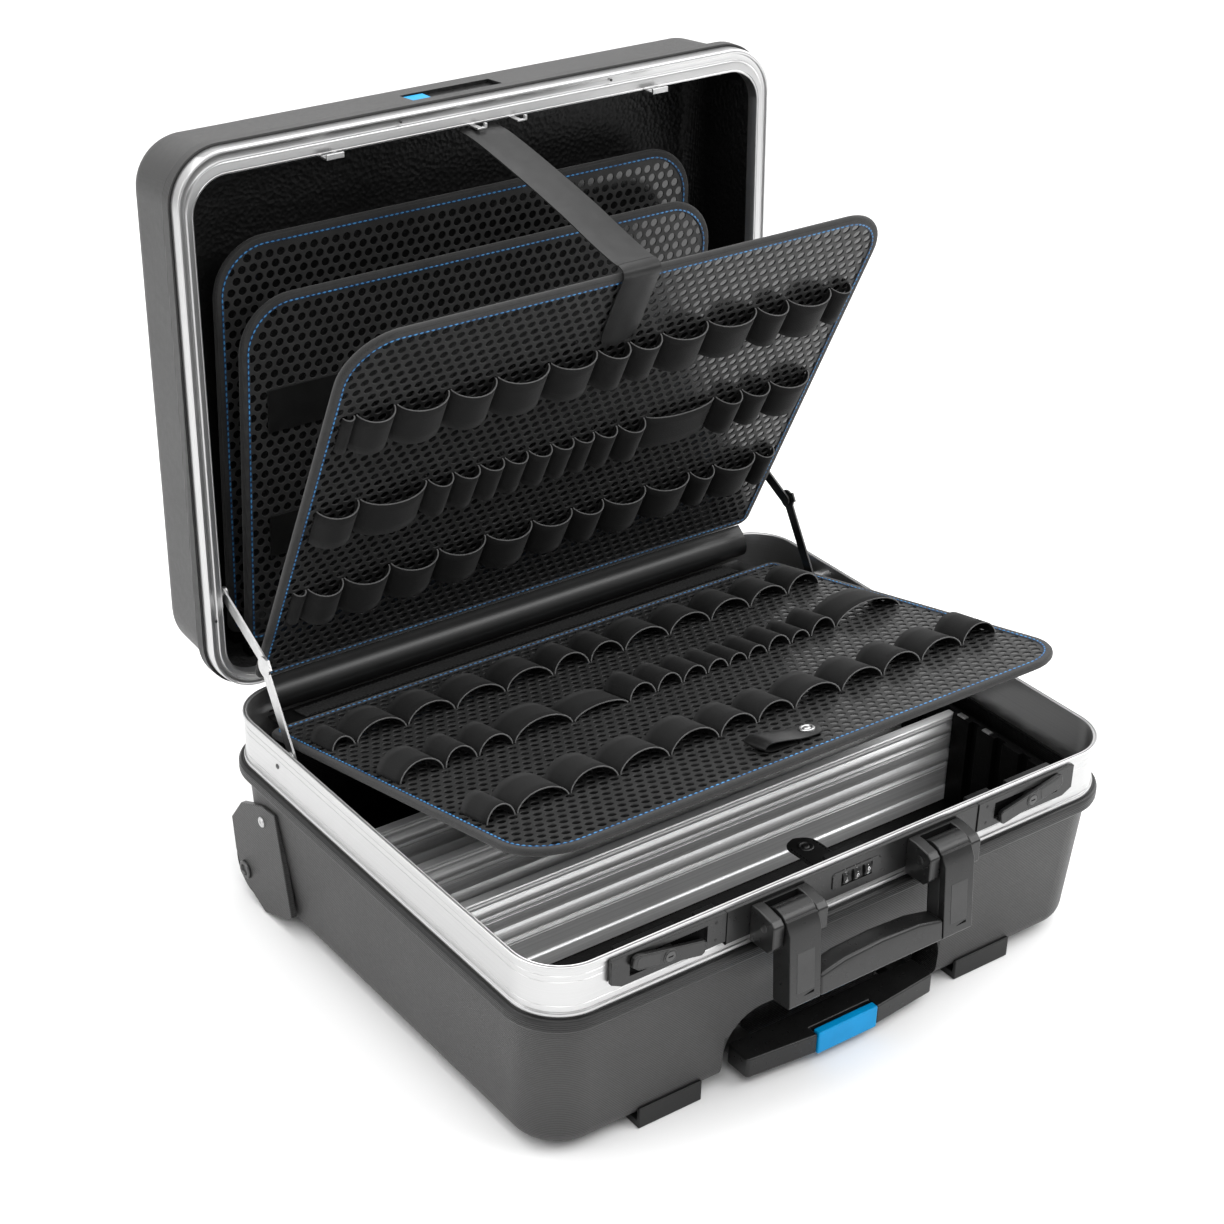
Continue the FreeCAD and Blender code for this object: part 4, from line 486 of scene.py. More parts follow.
def lathe(profile, centre, axis, steps=32):
    """A turned shape: radius and height pairs about an axis through a centre."""
    verts = []
    for r, h in profile:
        for k in range(steps):
            a = 2 * math.pi * k / steps
            u, v = r * math.cos(a), r * math.sin(a)
            offset = {"x": (h, u, v), "y": (u, h, v), "z": (u, v, h)}[axis]
            verts.append(tuple(c + o for c, o in zip(centre, offset)))
    return verts, closed(len(profile), steps)


def soften(obj, width, segments, degrees):
    """Rounds a piece's edges."""
    bevel = obj.modifiers.new("edges", "BEVEL")
    bevel.width = width * MM
    bevel.segments = segments
    bevel.limit_method = "ANGLE"
    bevel.angle_limit = math.radians(degrees)
    bevel.use_clamp_overlap = True
    bevel.harden_normals = True


def shape(name, points, material, body, *nodes, slot="black_plastic", edge=0.0, move=None, segments=2):
    """A piece with rounded edges, moved to its place and given to its body."""
    obj = mesh(name, *points, [material])
    fix_normals(obj)
    shade(obj)
    if edge:
        soften(obj, edge, segments, 30)
    return settle(obj, body, *nodes, slot=slot, move=move)


def dress(node, material, width):
    """A copy of a CAD node with its edges rounded, which stands for the node."""
    source = frame["nodes"][node]
    data = source.data.copy()
    obj = place(node + "_finished", data)
    bm = bmesh.new()
    bm.from_mesh(data)
    bmesh.ops.remove_doubles(bm, verts=bm.verts, dist=1e-6)
    bmesh.ops.dissolve_limit(bm, angle_limit=math.radians(1.5), verts=bm.verts, edges=bm.edges)
    bm.to_mesh(data)
    bm.free()
    data.materials.clear()
    data.materials.append(material)
    for polygon in data.polygons:
        polygon.material_index = 0
    shade(obj, 40)
    soften(obj, width, 2, 40)
    return settle(obj, source["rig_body"], node, drawn=False)


def paint(node, material):
    data = frame["nodes"][node].data
    data.materials.clear()
    data.materials.append(material)


def hinged(y, z, degrees):
    """Turns what is drawn flat about the x axis and sets it at its hinge."""
    return Matrix.Translation((0, y * MM, z * MM)) @ Matrix.Rotation(math.radians(degrees), 4, "X")


# What belongs to the lid is drawn closed and turned open
OPEN = hinged(HINGE_Y, HINGE_Z, -LID_OPEN) @ Matrix.Translation((0, -HINGE_Y * MM, -HINGE_Z * MM))


# Camera at the photograph's angle, a white room and soft lights

def camera():
    az, el, roll = math.radians(-37.43), math.radians(29.21), math.radians(1.9)
    back = Vector((math.sin(az) * math.cos(el), -math.cos(az) * math.cos(el), math.sin(el)))
    right = Vector((math.cos(az), math.sin(az), 0))
    up = back.cross(right)
    right, up = (right * math.cos(roll) + up * math.sin(roll), up * math.cos(roll) - right * math.sin(roll))
    view = Matrix((right, up, back)).transposed().to_4x4()
    view.translation = Vector((-0.9537, -1.211716, 1.0856))
    data = bpy.data.cameras.new("photo_camera")
    data.sensor_width = 36
    data.lens = 2544.66 / 1224 * 36
    obj = place("photo_camera", data)
    obj.matrix_world = view
    bpy.context.scene.camera = obj


def room():
    """A white room that is dimmer on the near left side."""
    world = bpy.data.worlds.new("studio")
    bpy.context.scene.world = world
    world.use_nodes = True
    tree = world.node_tree
    towards = add_node(tree, "ShaderNodeVectorMath")
    towards.operation = "DOT_PRODUCT"
    tree.links.new(add_node(tree, "ShaderNodeTexCoord").outputs["Generated"], towards.inputs[0])
    towards.inputs[1].default_value = (0.45, 0.62, 0.64)
    fade = add_node(tree, "ShaderNodeMapRange", Value=towards.outputs["Value"],
                    From_Min=-0.5, From_Max=0.75, To_Min=0.3, To_Max=1.1)
    fade.interpolation_type = "SMOOTHSTEP"
    tree.links.new(fade.outputs["Result"], tree.nodes["Background"].inputs["Strength"])
    tree.nodes["Background"].inputs["Color"].default_value = (1, 1, 1, 1)


def studio():
    camera()
    room()
    reach = 40000
    corners = [(-reach, -reach, -0.2), (reach, -reach, -0.2), (reach, reach, -0.2), (-reach, reach, -0.2)]
    pale = Look("floor_pale", grey(0.9), 0.7)
    floor = mesh("studio_floor", corners, [(0, 1, 2, 3)], [pale.material], None, False)
    bpy.context.scene.view_settings.view_transform = "Standard"
    for name, power, size, spot, target in (
            ("sky", 60, (4.0, 4.0), (0.0, 0.2, 2.9), (0, 0.2, 0.0)),
            ("key", 14, (1.6, 1.0), (-0.9, -1.5, 1.9), (0, 0, 0.2)),
            ("front", 17, (1.4, 0.8), (1.15, -1.5, 1.75), (0, 0, 0.1)),
            ("top", 14, (1.8, 1.2), (0.1, 0.7, 2.1), (0, 0.05, 0.2)),
            ("side", 12, (0.5, 1.6), (1.7, -0.3, 1.0), (0, 0, 0.25)),
            ("left", 9, (0.8, 1.4), (-1.9, 0.4, 1.0), (0, 0.1, 0.2))):
        lamp = bpy.data.lights.new(name, "AREA")
        lamp.shape = "RECTANGLE"
        lamp.size, lamp.size_y = size
        lamp.energy = power
        obj = place(name, lamp)
        obj.location = spot
        obj.rotation_euler = (Vector(target) - Vector(spot)).to_track_quat("-Z", "Y").to_euler()


studio()


# Aluminium frame of the base, a rolled band with fine grooves

def pierce(obj, *holes):
    """Cuts square holes through the front wall for what passes through it."""
    for left, right, low, high in holes:
        cutter = mesh("cutter", *slab((left, right), (-199, -186), (low, high)), [], None, False)
        fix_normals(cutter)
        hole = obj.modifiers.new("hole", "BOOLEAN")
        hole.operation = "DIFFERENCE"
        hole.object = cutter
        made = worked_out(obj)
        obj.modifiers.clear()
        obj.data = made
        bpy.data.objects.remove(cutter)
    shade(obj)


def base_frame():
    outer = [(0.6, 118), (0.1, 118.3), (0.06, 119), (0.06, 121.0), (0.4, 121.5), (1.2, 121.7)]
    for z in (126, 144, 148.5):
        outer += [(1.2, z), (1.4, z + 0.2), (1.4, z + 0.5), (1.2, z + 0.7)]
    outer += [(1.2, 152.2), (0.5, 152.6), (0.1, 153), (0.06, 155.0), (0.3, 155.7), (0.9, 156), (1.4, 155.9)]
    outer += [(1.6, 155.2), (2.0, 155.2), (2.2, 155.8), (2.9, 156), (3.5, 155.6), (3.6, 155)]
    inner = [(3.6, z) for z in (148, 140, 130, 119)] + [(3.3, 118)]
    band = rim_band("base_frame_band", outer + inner, ALU)
    pierce(band, (-16, 16, 133.7, 147.3), (-162, -148, 135, 149), (148, 162, 135, 149))
    settle(band, "base", "base_frame", slot="aluminium_frame")
    seal = ((1.0, 118.0), (-0.6, 117.95), (-0.9, 118.3), (-0.6, 118.7), (0.2, 118.8), (1.0, 118.5))
    settle(rim_band("base_seal", seal, BLACK), "base", slot="black_plastic")


base_frame()


# Tool boards, drawn flat: x across, and the length from NEAR to each board's far edge

NEAR = -2.5
NEAR_ROUND = 9
FAR_ROUND = 40
PITCH = 8.7
WEB_TOP = 2.0
CELL_FLOOR = 1.4
SIXTHS = [math.radians(60 * k + 30) for k in range(6)]

# body, half the width, far edge, hinge (y, z and turn), side that shows
BOARDS = {
    "front_board": ("front_tool_board", 222, 332, (190.5, 168.8, 114.2), 1),
    "middle_board": ("middle_tool_board", 201, 266, (240.04, 166.43, 92.5), 1),
    "rear_board": ("rear_tool_board", 203, 298, (262.02, 165.39, 90.6), 1),
    "base_board": ("base_tool_board", 229, 328, (159.7, 139.7, 166.9), -1),
}


def outline(half, far, inset, steps):
    return rounded_rect(half, NEAR, far, NEAR_ROUND, FAR_ROUND, inset, steps)


def inside(x, v, half, far):
    """How far a point lies inside a board's outline."""
    across, top = half - abs(x), far - v
    if across < FAR_ROUND and top < FAR_ROUND:
        return FAR_ROUND - math.hypot(FAR_ROUND - across, FAR_ROUND - top)
    return min(across, top, v - NEAR)


def sides(half, far, inset):
    """Half-planes that enclose a board's outline drawn in by inset, each a direction and a distance."""
    planes = [(1, 0, half - inset), (-1, 0, half - inset), (0, 1, far - inset), (0, -1, inset - NEAR)]
    for sx in (1, -1):
        for sv, radius, edge in ((1, FAR_ROUND, far), (-1, NEAR_ROUND, NEAR)):
            for degrees in (8, 19, 31, 45, 59, 71, 82):
                nx, nv = sx * math.cos(math.radians(degrees)), sv * math.sin(math.radians(degrees))
                reach = nx * sx * (half - radius) + nv * (edge - sv * radius) + radius - inset
                planes.append((nx, nv, reach))
    return planes


def clip(points, planes):
    """Cuts a convex polygon to the half-planes."""
    for nx, nv, limit in planes:
        out = []
        for a, b in zip(points, points[1:] + points[:1]):
            da, db = limit - nx * a[0] - nv * a[1], limit - nx * b[0] - nv * b[1]
            if da >= 0:
                out.append(a)
            if da * db < 0:
                t = da / (da - db)
                out.append((a[0] + (b[0] - a[0]) * t, a[1] + (b[1] - a[1]) * t))
        points = out
        if len(points) < 3:
            return []
    return points


def cell_faces(start, steps):
    """Faces of one cell: the web between six corners and the hole's edge, the wall and the floor."""
    per = steps // 6
    edge, floor = start + 6, start + 6 + steps
    faces = []
    for k in range(6):
        arc = [edge + (k * per + q) % steps for q in range(per, -1, -1)]
        faces.append((start + k, start + (k + 1) % 6, *arc))
    return faces + between(2, steps, edge) + [tuple(range(floor, floor + steps))]


def honeycomb(half, far, steps):
    """A board's face: a raised web with round cells, cut off along the binding."""
    verts, faces, slots = [], [], []
    row = PITCH * math.sqrt(3) / 2
    hexagon = PITCH / math.sqrt(3)
    hole = PITCH * 0.375
    turn = [math.radians(30 + 360 * k / steps) for k in range(steps)]
    planes = sides(half, far, 3)
    rows = 0
    v = NEAR
    while v < far + row:
        x = -half - (PITCH / 2 if rows % 2 else 0)
        while x < half + PITCH:
            spot = inside(x, v, half, far)
            corners = [(x + hexagon * math.cos(a), v + hexagon * math.sin(a)) for a in SIXTHS]
            start = len(verts)
            if spot > hexagon + 2:
                verts += [(a, b, WEB_TOP) for a, b in corners]
                for radius, z in ((hole, WEB_TOP), (hole * 0.93, CELL_FLOOR)):
                    verts += [(x + radius * math.cos(a), v + radius * math.sin(a), z) for a in turn]
                faces += cell_faces(start, steps)
                slots += [0] * (6 + steps) + [1]
            elif spot > 2:
                cut = clip(corners, planes)
                if len(cut) >= 3:
                    verts += [(a, b, WEB_TOP) for a, b in cut]
                    faces.append(tuple(range(start, len(verts))))
                    slots.append(0)
            x += PITCH
        v += row
        rows += 1
    return verts, faces, slots


def along(lengths, s):
    """The stretch of a line that holds a length, and the share of the stretch before it."""
    s = min(max(s, 0.0), lengths[-1] - 1e-6)
    i = sum(length <= s for length in lengths) - 1
    return i, (s - lengths[i]) / max(lengths[i + 1] - lengths[i], 1e-9)


def running(points):
    """The length of a line up to each of its points."""
    lengths = [0.0]
    for a, b in zip(points, points[1:]):
        lengths.append(lengths[-1] + math.dist(a, b))
    return lengths


# A stitch has three rows of four points. Its six faces start at these.
STITCH_CORNERS = (0, 1, 2, 4, 5, 6)


def stitches(points, height, sign, verts, faces, pitch, length, wide, tall):
    """Short raised stitches along a flat line."""
    lengths = running(points)
    total = lengths[-1]
    count = int(total / pitch)

    def spot(s):
        i, t = along(lengths, s)
        return tuple(p + (q - p) * t for p, q in zip(points[i], points[i + 1]))

    for n in range(count):
        mid = (n + 0.5) * total / count
        a, c, b = spot(mid - length / 2), spot(mid), spot(mid + length / 2)
        d = Vector((b[0] - a[0], b[1] - a[1]))
        if d.length < 0.1:
            continue
        d.normalize()
        side = Vector((-d.y, d.x)) * wide / 2
        start = len(verts)
        for (px, pv), grow, rise in ((a, 0.4, -0.1), (c, 1.0, tall), (b, 0.4, -0.1)):
            for s in (-1, -0.5, 0.5, 1):
                top = rise if abs(s) < 0.9 else min(rise, 0) - 0.15
                verts.append((px + side.x * s * grow, pv + side.y * s * grow, sign * (height + top)))
        for k in STITCH_CORNERS:
            f = (start + k, start + k + 1, start + k + 5, start + k + 4)
            faces.append(f if sign < 0 else tuple(reversed(f)))


def sheet(half, far, up, both):
    """Points, faces and material slots of a board's sheet; only the side that shows has round cells."""
    verts, faces, slots = [], [], []
    for sign in ((1, -1) if both else (up,)):
        some_verts, some_faces, some_slots = honeycomb(half, far, 12 if sign == up else 6)
        base = len(verts)
        verts += [(a, b, c * sign) for a, b, c in some_verts]
        faces += [tuple(base + i for i in (f if sign > 0 else reversed(f))) for f in some_faces]
        slots += some_slots
    edge = outline(half, far, 2.2, 10)
    base, n = len(verts), len(edge)
    verts += [(a, b, z) for z in (1.0, -1.0) for a, b in edge]
    faces += [tuple(range(base, base + n)), tuple(reversed(range(base + n, base + 2 * n)))]
    faces += [(base + i, base + n + i, base + n + (i + 1) % n, base + (i + 1) % n) for i in range(n)]
    return verts, faces, slots + [1, 1] + [0] * n


def board(node, both):
    """A honeycomb sheet with a woven binding sewn round it."""
    body, half, far, hinge, up = BOARDS[node]
    name = node + "_dressed"
    stand = hinged(*hinge)

    def ring(ending, profile, material, slot):
        rings = [[(a, b, z) for a, b in outline(half, far, inset, 12)] for inset, z in profile]
        settle(swept_ring(name + ending, rings, material), body, slot=slot, move=stand)

    verts, faces, slots = sheet(half, far, up, both)
    face = mesh(name + "_sheet", verts, faces, [WEB, CELL], slots)
    settle(face, body, node, slot="board_skin", move=stand)
    fold = [(0.0, 0), (0.25, 1.3), (1.0, 2.15), (2.2, 2.5), (4.5, 2.45), (6.2, 2.4), (6.9, 2.2), (7.1, 1.9)]
    ring("_binding", fold + [(a, -b) for a, b in reversed(fold[1:])], BINDING, "strap_leather")
    verts, faces = [], []
    for sign, side in ((1, "up"), (-1, "down")):
        bed = [(inset, sign * z) for inset, z in ((4.6, 2.2), (4.8, 2.6), (6.4, 2.6), (6.6, 2.2))]
        ring("_thread_bed_" + side, bed, THREAD_BED, "blue_plastic")
        path = outline(half, far, 5.6, 16)
        stitches(path + path[:1], 2.6, sign, verts, faces, 4.3, 3.7, 1.5, 0.45)
    settle(mesh(name + "_stitches", verts, faces, [THREAD_BLUE]), body, slot="blue_plastic", move=stand)


for node in BOARDS:
    board(node, node in ("front_board", "base_board"))


# Pocket ledges of the middle board: the islands of its CAD mesh that are narrower than the sheet, in metres

LEDGE_LIMIT = 0.37


def ledges():
    source = frame["nodes"]["middle_board"]
    bm = bmesh.new()
    bm.from_mesh(source.data)
    bmesh.ops.remove_doubles(bm, verts=bm.verts, dist=1e-6)
    left, gone = set(bm.verts), []
    while left:
        island, reach = set(), [left.pop()]
        while reach:
            vert = reach.pop()
            island.add(vert)
            for edge in vert.link_edges:
                other = edge.other_vert(vert)
                if other in left:
                    left.remove(other)
                    reach.append(other)
        across = [v.co.x for v in island]
        if max(across) - min(across) > LEDGE_LIMIT:
            gone.extend(island)
    bmesh.ops.delete(bm, geom=gone, context="VERTS")
    data = bpy.data.meshes.new("middle_board_ledges")
    bm.to_mesh(data)
    bm.free()
    data.materials.append(TAB)
    obj = place("middle_board_ledges", data)
    shade(obj)
    settle(obj, source["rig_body"], slot="strap_leather", drawn=False)


ledges()


# Elastic loops

BAND = 30


def loop_row(verts, faces, shares, half, centre, up, pouch, rng):
    """One elastic band held down at the shares of the half width, bulging between them."""
    rows, steps = 5, 14
    for k in range(len(shares) - 1):
        left, right = half * shares[k] + 0.5, half * shares[k + 1] - 0.5
        wide = right - left
        high = min(7 if k == pouch else 12.6 + rng.uniform(-1.2, 0.3), wide * 0.5)
        lean = rng.uniform(-0.06, 0.06)
        flare = rng.uniform(0.02, 0.1)
        start = len(verts)
        for j in range(rows):
            part = j / (rows - 1)
            v = centre + BAND * (part - 0.5)
            swell = 1 - flare * (1 - part if up > 0 else part)
            for i in range(steps + 1):
                t = i / steps
                u = 0.5 - 0.5 * math.cos(math.pi * t)
                arch = (max(0.0, 1 - abs(2 * u - 1) ** 2.1)) ** 0.62
                x = left + wide * u + lean * high * arch
                bow = 1.1 * math.sin(math.pi * t) * (part - 0.5)
                verts.append((x, v + bow, up * (2.2 + high * swell * arch)))
        for j in range(rows - 1):
            for i in range(steps):
                a = start + j * (steps + 1) + i
                f = (a, a + 1, a + steps + 2, a + steps + 1)
                faces.append(f if up > 0 else tuple(reversed(f)))


def loops(name, board_name, rows):
    """Bands across a board; a row is its share of the length, its flat pouch and its tacks."""
    body, half, far, hinge, up = BOARDS[board_name]
    rng = random.Random(half)
    verts, faces, thread_verts, thread_faces = [], [], [], []
    for share, pouch, shares in rows:
        centre = far * share
        loop_row(verts, faces, shares, half, centre, up, pouch, rng)
        for s in shares:
            tack = [(half * s, centre - 14), (half * s, centre + 14)]
            stitches(tack, 2.5, up, thread_verts, thread_faces, 3.4, 2.4, 0.9, 0.3)
    obj = mesh(name, verts, faces, [ELASTIC, ELASTIC_EDGE_HIGHLIGHT])
    solid = obj.modifiers.new("thick", "SOLIDIFY")
    solid.thickness = 1.0 * MM
    solid.offset = -1
    # the rims take the lighter edge weave, a painted highlight
    solid.material_offset_rim = 1
    settle(obj, body, board_name + "_loops", slot="elastic", move=hinged(*hinge))
    tacks = mesh(name + "_tacks", thread_verts, thread_faces, [THREAD_DARK])
    settle(tacks, body, slot="elastic", move=hinged(*hinge))


loops("front_loops", "front_board", (
    (0.747, None, (-0.95, -0.905, -0.77, -0.585, -0.42, -0.23, -0.055,
                   0.065, 0.19, 0.37, 0.565, 0.69, 0.87, 0.955)),
    (0.479, 11, (-0.95, -0.80, -0.56, -0.465, -0.37, -0.28, -0.19, -0.10,
                 -0.015, 0.065, 0.155, 0.265, 0.55, 0.66, 0.78, 0.95)),
    (0.226, None, (-0.95, -0.90, -0.77, -0.60, -0.42, -0.24, -0.06,
                   0.10, 0.225, 0.40, 0.585, 0.69, 0.87, 0.955))))
loops("base_loops", "base_board", (
    (0.168, None, (-0.955, -0.87, -0.69, -0.515, -0.33, -0.15, -0.01,
                   0.125, 0.305, 0.475, 0.64, 0.80, 0.94)),
    (0.436, 4, (-0.955, -0.80, -0.685, -0.56, -0.345, -0.14, -0.035, 0.065,
                0.16, 0.245, 0.32, 0.40, 0.495, 0.575, 0.68, 0.955)),
    (0.744, None, (-0.95, -0.85, -0.67, -0.50, -0.32, -0.14, 0.0,
                   0.14, 0.32, 0.485, 0.64, 0.81, 0.955))))


# Leather pieces

SIDEWAYS = Vector((1, 0, 0))
STITCH = 2.5


def spline(points, steps):
    """A smooth line through points."""
    out = []
    pts = [points[0]] + list(points) + [points[-1]]
    for i in range(1, len(pts) - 2):
        p0, p1, p2, p3 = (Vector(p) for p in pts[i - 1:i + 3])
        for k in range(steps):
            t = k / steps
            square = 2 * p0 - 5 * p1 + 4 * p2 - p3
            cube = 3 * p1 - p0 - 3 * p2 + p3
            out.append(0.5 * ((2 * p1) + (p2 - p0) * t + square * t ** 2 + cube * t ** 3))
    out.append(Vector(points[-1]))
    return out


def ribbon(name, line, half, thick, material, round_end=False, cross=7, crown=0.25, side=SIDEWAYS):
    """A strap along a line of points, crowned a little and thinner at its edges."""
    verts = []
    n = len(line)
    lengths = running(line)
    frames = []
    for i, p in enumerate(line):
        t = (line[min(i + 1, n - 1)] - line[max(i - 1, 0)]).normalized()
        frames.append((p, side.cross(t).normalized()))
    for i, (p, up) in enumerate(frames):
        reach = half
        left = lengths[-1] - lengths[i]
        if round_end and left < half:
            reach = max(math.sqrt(max(half * half - (half - left) ** 2, 0)), 0.6)
        for way in (1, -1):
            for k in range(cross):
                s = way * (2 * k / (cross - 1) - 1)
                rise = way * thick / 2 * (1 - 0.5 * max(0, abs(s) - 0.8) / 0.2)
                if way > 0:
                    rise += crown * (1 - s * s)
                verts.append(tuple(p + side * (s * reach) + up * rise))
    obj = mesh(name, verts, closed(n, 2 * cross), [material])
    fix_normals(obj)
    return obj, frames, lengths


def seam_on(name, frames, lengths, offset, height, pitch, stop=0.0):
    """Stitches along a ribbon, offset from its middle."""
    verts, faces = [], []
    total = lengths[-1] - stop
    count = max(2, int(total / pitch))
    for n in range(count):
        mid = (n + 0.5) * total / count
        start = len(verts)
        for s, grow, rise in ((mid - STITCH / 2, 0.4, -0.15), (mid, 1, 0.3), (mid + STITCH / 2, 0.4, -0.15)):
            i, t = along(lengths, s)
            p = frames[i][0].lerp(frames[i + 1][0], t)
            up = frames[i][1].lerp(frames[i + 1][1], t).normalized()
            for w in (-1, -0.4, 0.4, 1):
                top = rise if abs(w) < 0.9 else -0.2
                verts.append(tuple(p + SIDEWAYS * (offset + w * 0.6 * grow) + up * (height + top)))
        faces += [(start + k, start + k + 4, start + k + 5, start + k + 1) for k in STITCH_CORNERS]
    return mesh(name, verts, faces, [THREAD_DARK])


def strap_seams(name, frames, lengths, stop=0.0):
    """The four rows of stitches on a wide strap."""
    return [seam_on(name % int(off * 10 + 200), frames, lengths, off, 1.0, 3.2, stop)
            for off in (-12.2, -9.6, 9.6, 12.2)]


def straps():
    """From the lid's ring down to the front board's top edge, then over its binding and down its face."""
    run = ((-13, 224, 521.5), (-12, 205, 519.5), (-8.5, 165, 509), (-4, 120, 495),
           (-1, 86, 483), (0, 66, 477.4), (0, 57.6, 476.2))
    obj, frames, lengths = ribbon("strap_over_boards", spline(run, 8), 15.2, 2.0, STRAP)
    for k, o in enumerate([obj] + strap_seams("strap_seam_%d", frames, lengths)):
        settle(o, "lid", *first(k, "strap_run"), slot="strap_leather")
        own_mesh(o)
    lean = math.radians(24.2)
    axis = Vector((0, -math.sin(lean), math.cos(lean)))
    out = Vector((0, -math.cos(lean), -math.sin(lean)))
    top = Vector((0, 190.5, 168.8)) + axis * 332
    bend = ((3.4, -4.2), (3.9, -1.0), (3.2, 2.2), (0.4, 4.2), (-6, 4.2), (-25, 3.7), (-45, 3.7), (-66, 3.7))
    line = spline([top + axis * rise + out * proud for rise, proud in bend], 6)
    obj, frames, lengths = ribbon("strap_tongue", line, 15.2, 2.0, STRAP, True)
    settle(obj, "front_tool_board", "strap_tab", slot="strap_leather")
    for obj in strap_seams("tongue_seam_%d", frames, lengths, 9.0):
        settle(obj, "front_tool_board", slot="strap_leather")


def upright(points, steps):
    """A smooth line through (y, z) points in the middle plane."""
    return spline([(0, y, z) for y, z in points], steps)


def spine():
    bow = ((186.4, 139.9), (179.9, 145), (178.2, 151.5), (181.6, 159), (187.0, 163.6), (189.7, 165.6))
    roll = ribbon("spine_roll", upright(bow, 8), 213.5, 2.4, ROLL, False, 61, 0)[0]
    settle(roll, "spine", "board_spine", slot="strap_leather")


def flap():
    line = upright(((188.3, 134.6), (184, 134.8), (176, 136.4), (168, 138.3), (163, 139.5)), 5)
    cover = ribbon("flap_sheet_dressed", line, 213.5, 2.2, ROLL, False, 41, 0)[0]
    settle(cover, "base", "board_flap", slot="strap_leather")
    line = upright(((182.6, 136.9), (176, 138.3), (169, 139.9), (164.2, 141.0)), 5)
    strip = ribbon("hook_strip_band", line, 196, 1.0, HOOK, False, 61, 0)[0]
    settle(strip, "base", slot="strap_leather")
    verts, faces = [], []
    for y, z in ((181.9, 137.7), (165.0, 141.4)):
        stitches([(-194, y), (194, y)], z, 1, verts, faces, 3.6, 2.4, 0.7, 0.3)
    settle(mesh("hook_strip_seam", verts, faces, [THREAD_DARK]), "base", slot="strap_leather")


straps()
spine()
flap()


# Dividers of ribbed aluminium

def rib(low, high):
    """A bulge of a divider's profile, as pairs of thickness and height."""
    return [(1.0 + 3.0 * math.sin(math.pi * k / 10), low + (high - low) * k / 10) for k in range(11)]


def dividers():
    half = [(3.4, 33), (4, 33.6), (4, 43), (3.4, 44.2), (2.0, 45), (2.2, 49), (2.7, 54), (2.2, 59.4),
            (2.2, 60.6), (2.7, 60.9), (2.7, 61.6), (2.2, 61.9),
            (2.2, 62.6), (2.7, 62.9), (2.7, 63.5), (2.2, 63.8)]
    half += rib(64.5, 76.5)
    half += [(1.0, 77.2), (2.4, 80), (2.7, 83), (2.3, 86.2),
             (2.0, 86.5), (2.5, 86.8), (2.5, 87.5), (2.0, 87.8),
             (2.0, 88.3), (2.5, 88.6), (2.5, 89.3), (2.0, 89.6)]
    half += rib(90.4, 100.2)
    half += [(1.0, 101), (2.2, 103.2), (3.2, 103.5), (3.9, 104.4), (3.3, 105.3), (2.5, 105.5),
             (2.5, 105.9), (3.3, 106.1), (3.9, 107), (3.2, 107.8), (1.6, 108)]
    profile = half + [(-a, z) for a, z in reversed(half)]
    for k, y in enumerate((-47, 5, 57)):
        bar = plate([(y + a, z) for a, z in profile], -230, 230, "x")
        obj = mesh("divider_profile_%d" % k, *bar, [ALU_BAR])
        fix_normals(obj)
        settle(obj, "base", *first(k, "cross_dividers"), slot="aluminium_frame")


dividers()


# Aluminium ring of the lid, drawn closed and turned open

def lid_ring():
    outer = rounded_rect(HALF, -DEPTH, DEPTH, CORNER, CORNER, 0, 20)
    inner = rounded_rect(234, -178, 185, 26, 26, 0, 20)
    # shares of the way from the outer to the inner outline, and heights
    profile = ((0, 166.2), (0, 157.4), (0.03, 156.7), (0.09, 156.3), (0.15, 156.35), (0.19, 156.7),
               (0.22, 157.8), (0.25, 158), (0.44, 158), (0.47, 157.6), (0.50, 156.6), (0.54, 156.25),
               (0.60, 156.2), (0.86, 156.2), (0.88, 156.45), (0.90, 156.45), (0.92, 156.2), (0.97, 156.3),
               (1.0, 156.8), (1.0, 166.2))
    rings = [[(a[0] + (b[0] - a[0]) * t, a[1] + (b[1] - a[1]) * t, z) for a, b in zip(outer, inner)]
             for t, z in profile]
    settle(swept_ring("lid_frame_ring", rings, ALU), "lid", "lid_frame", slot="aluminium_frame", move=OPEN)
    # the dark seam between the ring and the shell's rib
    seal = ((1.0, 166.0), (-0.8, 165.9), (-1.1, 166.4), (-0.8, 167.2), (1.0, 167.2))
    settle(rim_band("lid_seal", seal, BLACK), "lid", slot="black_plastic", move=OPEN)
    for k, (x, y) in enumerate(((-240.4, 135.9), (-75.1, -190), (100, -190), (240.4, 135.9))):
        head = lathe(((1.0, 0.5), (1.0, -0.15), (0.6, -0.35)), (x, y, 156.4), "z", 16)
        shape("ring_rivet_%d" % k, head, DARK_STEEL_AND_SHADE, "lid", slot="aluminium_frame", move=OPEN)


lid_ring()


# Keepers on the lid's front ring: small bent frames of bright wire

